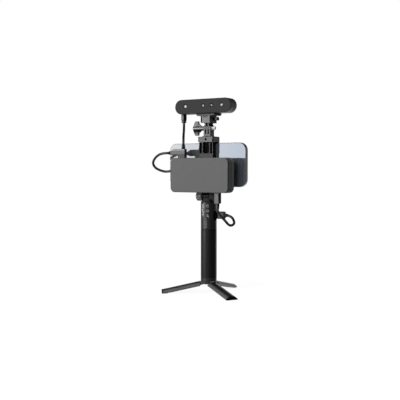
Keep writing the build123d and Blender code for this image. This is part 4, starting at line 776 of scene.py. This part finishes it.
# Socket screw in the front of the upper jaw
screw_shape = [(0.7, 0.0), (1.0, 0.2), (2.1, 0.2), (2.3, 0.0), (2.3, -0.3), (0.7, -0.3), (0.7, 0.0)]
jaw_screw = turned("jaw_screw", screw_shape, (0.6, -12.0, 275.25), FORWARD, MATS["socket"])
placed(jaw_screw, "jaw")

# Printed marks, wrapped around the handle: plain bars and rings
HOUSING_RADIUS = 14.36
KEY_RADIUS = 14.8


def bar(u, v, width, height):
    steps = max(1, round(width / 0.6))
    rims = []
    for k in range(steps + 1):
        x = u - width / 2 + width * k / steps
        rims.append(((x, v - height / 2), (x, v + height / 2)))
    return [(a[0], b[0], b[1], a[1]) for a, b in zip(rims, rims[1:])]


def ring(u, v, outer, inner, steps=20):
    rims = []
    for k in range(steps + 1):
        turn = 2 * math.pi * k / steps
        c, s = math.cos(turn), math.sin(turn)
        rims.append(((u + inner * c, v + inner * s), (u + outer * c, v + outer * s)))
    return [(a[0], a[1], b[1], b[0]) for a, b in zip(rims, rims[1:])]


def wrapped_marks(name, quads, radius, angle, height, mat):
    """Flat marks laid on an upright cylinder: u runs round it from the angle, v up from the height."""
    verts, faces = [], []
    for quad in quads:
        for u, v in quad:
            turn = math.radians(angle) + u / radius
            around = (radius * math.sin(turn) * MM, -radius * math.cos(turn) * MM)
            verts.append((*around, (height + v) * MM))
        faces.append(tuple(range(len(verts) - 4, len(verts))))
    return mesh_object(name, verts, faces, mat)


LABEL_ANGLE = -16.0
LABEL_TOP = 159.6
LABEL_STEP = 4.3
LABEL_ROWS = ((5.4, 0.4), (6.6, 0.0), (4.2, -0.9), (6.0, 0.3), (5.2, -0.4))
GAUGE_ANGLE = 7.0
GAUGE_TOP = 130.4
GAUGE_STEP = 3.5
KEY_ANGLE = 23.0
labels = []
for row, (width, shift) in enumerate(LABEL_ROWS):
    labels += bar(shift, -LABEL_STEP * row, width, 1.5)
    labels += bar(shift - 0.3 * width, -LABEL_STEP * row - 1.7, 1.5, 2.0)
    labels += bar(shift + 0.25 * width, -LABEL_STEP * row - 1.7, 1.3, 2.0)
label_marks = wrapped_marks(
    "label_marks", labels, HOUSING_RADIUS, LABEL_ANGLE, LABEL_TOP, MATS["mark"]
)
placed(label_marks, "handle")
gauge = []
for row in range(4):
    gauge += bar(0, -GAUGE_STEP * row, 6.0, 1.6)
gauge_marks = wrapped_marks(
    "gauge_marks", gauge, HOUSING_RADIUS, GAUGE_ANGLE, GAUGE_TOP, MATS["gauge"]
)
placed(gauge_marks, "handle")
KEY_MARKS = {
    "upper": (157.0, bar(0, 1.8, 4.4, 0.9) + bar(-1.7, 0, 0.9, 2.7) + bar(0.6, -1.6, 3.2, 0.9)),
    "middle": (148.5, ring(0, 0, 2.3, 1.4)),
    "lower": (140.0, ring(-0.2, 0.8, 1.6, 0.7) + bar(0, -2.1, 4.4, 1.0)),
}
for key, (height, quads) in KEY_MARKS.items():
    marks = wrapped_marks(f"key_{key}_mark", quads, KEY_RADIUS, KEY_ANGLE, height, MATS["mark"])
    placed(marks, f"key_{key}")

# Camera, matched to the photographed view
CAMERA_PLACE = (0.7002, -1.1414, 0.2225)
AZIMUTH = math.radians(32.2)
PITCH = math.radians(2.367)
SENSOR = 36
FOCAL_PIXELS = 750
PICTURE_PIXELS = 400
camera_data = bpy.data.cameras.new("camera")
camera = bpy.data.objects.new("camera", camera_data)
scene.collection.objects.link(camera)
camera.location = CAMERA_PLACE
camera.rotation_euler = (math.pi / 2 - PITCH, 0, AZIMUTH)
camera_data.sensor_width = SENSOR
camera_data.sensor_height = SENSOR
camera_data.sensor_fit = "HORIZONTAL"
camera_data.lens = SENSOR * FOCAL_PIXELS / PICTURE_PIXELS
camera_data.clip_start = 0.05
camera_data.clip_end = 20
scene.camera = camera
scene.view_settings.view_transform = "Standard"


# Lamps
LAMP_AIM = Vector((0, 0, 0.2))


def area_light(name, place, size, power, glossy=False):
    """Soft panel aimed at the middle of the object, either for shading or for highlights."""
    data = bpy.data.lights.new(name, "AREA")
    data.shape = "RECTANGLE"
    data.size, data.size_y = size
    data.energy = power
    obj = bpy.data.objects.new(name, data)
    scene.collection.objects.link(obj)
    obj.location = place
    obj.rotation_euler = (LAMP_AIM - Vector(place)).to_track_quat("-Z", "Y").to_euler()
    obj.visible_glossy = glossy
    obj.visible_diffuse = not glossy
    return obj


area_light("key", (-0.15, -2.2, 1.0), (1.2, 1.2), 46)
area_light("right", (1.2, 0.1, 1.9), (1.0, 1.0), 8)
sheen = area_light("sheen", (-1.3, -1.8, 0.35), (1.2, 1.2), 26, glossy=True)
without_sheen = bpy.data.collections.new("without_sheen")
for name in ("phone_back", "head_front_shell", "head_rear_shell"):
    without_sheen.objects.link(nodes[name])
sheen.light_linking.receiver_collection = without_sheen
for member in without_sheen.collection_objects:
    member.light_linking.link_state = "EXCLUDE"

# World: white to the eye, nearly dark for the shading, and for reflections a bright panel in front
# and a weaker sweep low behind. The spans are cosines from the two directions, and heights of view
PANEL = Vector((-0.5, -0.86, 0.12)).normalized()
PANEL_SPAN = (0.1, 0.95)
PANEL_LEVELS = (0.12, 1.0)
CEILING_SPAN = (0.25, 0.8)
CEILING_LEVELS = (1.0, 0.15)
REAR = Vector((-0.35, 0.94, 0.0)).normalized()
REAR_SPAN = (0.42, 0.8)
SWEEP_SPAN = (0.45, 0.2)
SWEEP_LEVEL = 0.7
SOFT_LEVEL = 0.05


def backdrop(tree, strength):
    node = tree.nodes.new("ShaderNodeBackground")
    node.inputs["Color"].default_value = (1, 1, 1, 1)
    node.inputs["Strength"].default_value = strength
    return node


def blended(tree, factor, low, high):
    node = tree.nodes.new("ShaderNodeMixShader")
    tree.links.new(factor, node.inputs[0])
    tree.links.new(low, node.inputs[1])
    tree.links.new(high, node.inputs[2])
    return node.outputs[0]


def rays_of(tree):
    """Two shares: rays that come straight from the camera, and reflected ones."""
    path = tree.nodes.new("ShaderNodeLightPath").outputs
    straight = calculated(tree, "MAXIMUM", path["Is Camera Ray"], path["Is Transmission Ray"])
    return straight, path["Is Glossy Ray"]


world = bpy.data.worlds.new("studio")
scene.world = world
world.use_nodes = True
wt = world.node_tree
wt.nodes.clear()
world_out = wt.nodes.new("ShaderNodeOutputWorld")
view = wt.nodes.new("ShaderNodeTexCoord").outputs["Generated"]
upward = split_of(wt, view)["Z"]
frontward = vector_math(wt, "DOT_PRODUCT", view, PANEL)
panel = mapped(wt, frontward, *PANEL_SPAN, *PANEL_LEVELS, smooth=True)
ceiling = mapped(wt, upward, *CEILING_SPAN, *CEILING_LEVELS, smooth=True)
front_level = calculated(wt, "MULTIPLY", panel, ceiling)
behind = between(wt, vector_math(wt, "DOT_PRODUCT", view, REAR), *REAR_SPAN)
low_down = between(wt, upward, *SWEEP_SPAN)
sweep = calculated(wt, "MULTIPLY", calculated(wt, "MULTIPLY", behind, low_down), SWEEP_LEVEL)
soft = backdrop(wt, SOFT_LEVEL)
mirrored = backdrop(wt, 1.0)
white = backdrop(wt, 1.0)
wt.links.new(calculated(wt, "MAXIMUM", front_level, sweep), mirrored.inputs["Strength"])
straight, glossy_share = rays_of(wt)
around = blended(wt, glossy_share, soft.outputs[0], mirrored.outputs[0])
wt.links.new(blended(wt, straight, around, white.outputs[0]), world_out.inputs["Surface"])

# Floor: glowing paper to the eye, grey in bounced light, and dim in reflections but for the two
# directions of the world
PAPER_TONES = [(0.3, (0.19, 0.19, 0.19)), (0.7, (0.21, 0.21, 0.21))]
GLOW_SPAN = (0.15, 0.5)
GLOW_LEVELS = (0.92, 1.0)
BOUNCE_LEVEL = 0.25
MIRRORED_LEVELS = (0.1, 0.55)
FLOOR_HALF = 6
FLOOR_HEIGHT = -0.0004
floor_mat, tree, shader, place = new_material("floor_paper")
spot_on_floor = place.outputs["Object"]
paper = noise(tree, place, 30.0)
ramp = tones(tree, paper.outputs["Fac"], PAPER_TONES)
tree.links.new(ramp.outputs["Color"], shader.inputs["Base Color"])
shader.inputs["Roughness"].default_value = 0.9
shader.inputs["Specular IOR Level"].default_value = 0.0
shader.inputs["Emission Color"].default_value = (1, 1, 1, 1)
glow = mapped(tree, vector_math(tree, "LENGTH", spot_on_floor), *GLOW_SPAN, *GLOW_LEVELS)
tree.links.new(glow, shader.inputs["Emission Strength"])
bounced = tree.nodes.new("ShaderNodeBsdfDiffuse")
bounced.inputs["Color"].default_value = (BOUNCE_LEVEL, BOUNCE_LEVEL, BOUNCE_LEVEL, 1)
reflected = tree.nodes.new("ShaderNodeEmission")
outward = vector_math(tree, "NORMALIZE", spot_on_floor)
under_panel, under_sweep = (
    between(tree, vector_math(tree, "DOT_PRODUCT", outward, aim), *span)
    for aim, span in ((PANEL, PANEL_SPAN), (REAR, REAR_SPAN))
)
under_panel = spread_of(tree, under_panel, *MIRRORED_LEVELS)
mirrored_level = calculated(tree, "MAXIMUM", under_panel, under_sweep)
tree.links.new(mirrored_level, reflected.inputs["Strength"])
straight, glossy_share = rays_of(tree)
indirect = blended(tree, glossy_share, bounced.outputs[0], reflected.outputs[0])
shown = blended(tree, straight, indirect, shader.outputs[0])
tree.links.new(shown, tree.nodes["Material Output"].inputs["Surface"])
floor_corners = [
    (x * FLOOR_HALF, y * FLOOR_HALF, FLOOR_HEIGHT) for x, y in ((-1, -1), (1, -1), (1, 1), (-1, 1))
]
floor = mesh_object("floor", floor_corners, [(0, 1, 2, 3)], floor_mat, smooth=False)
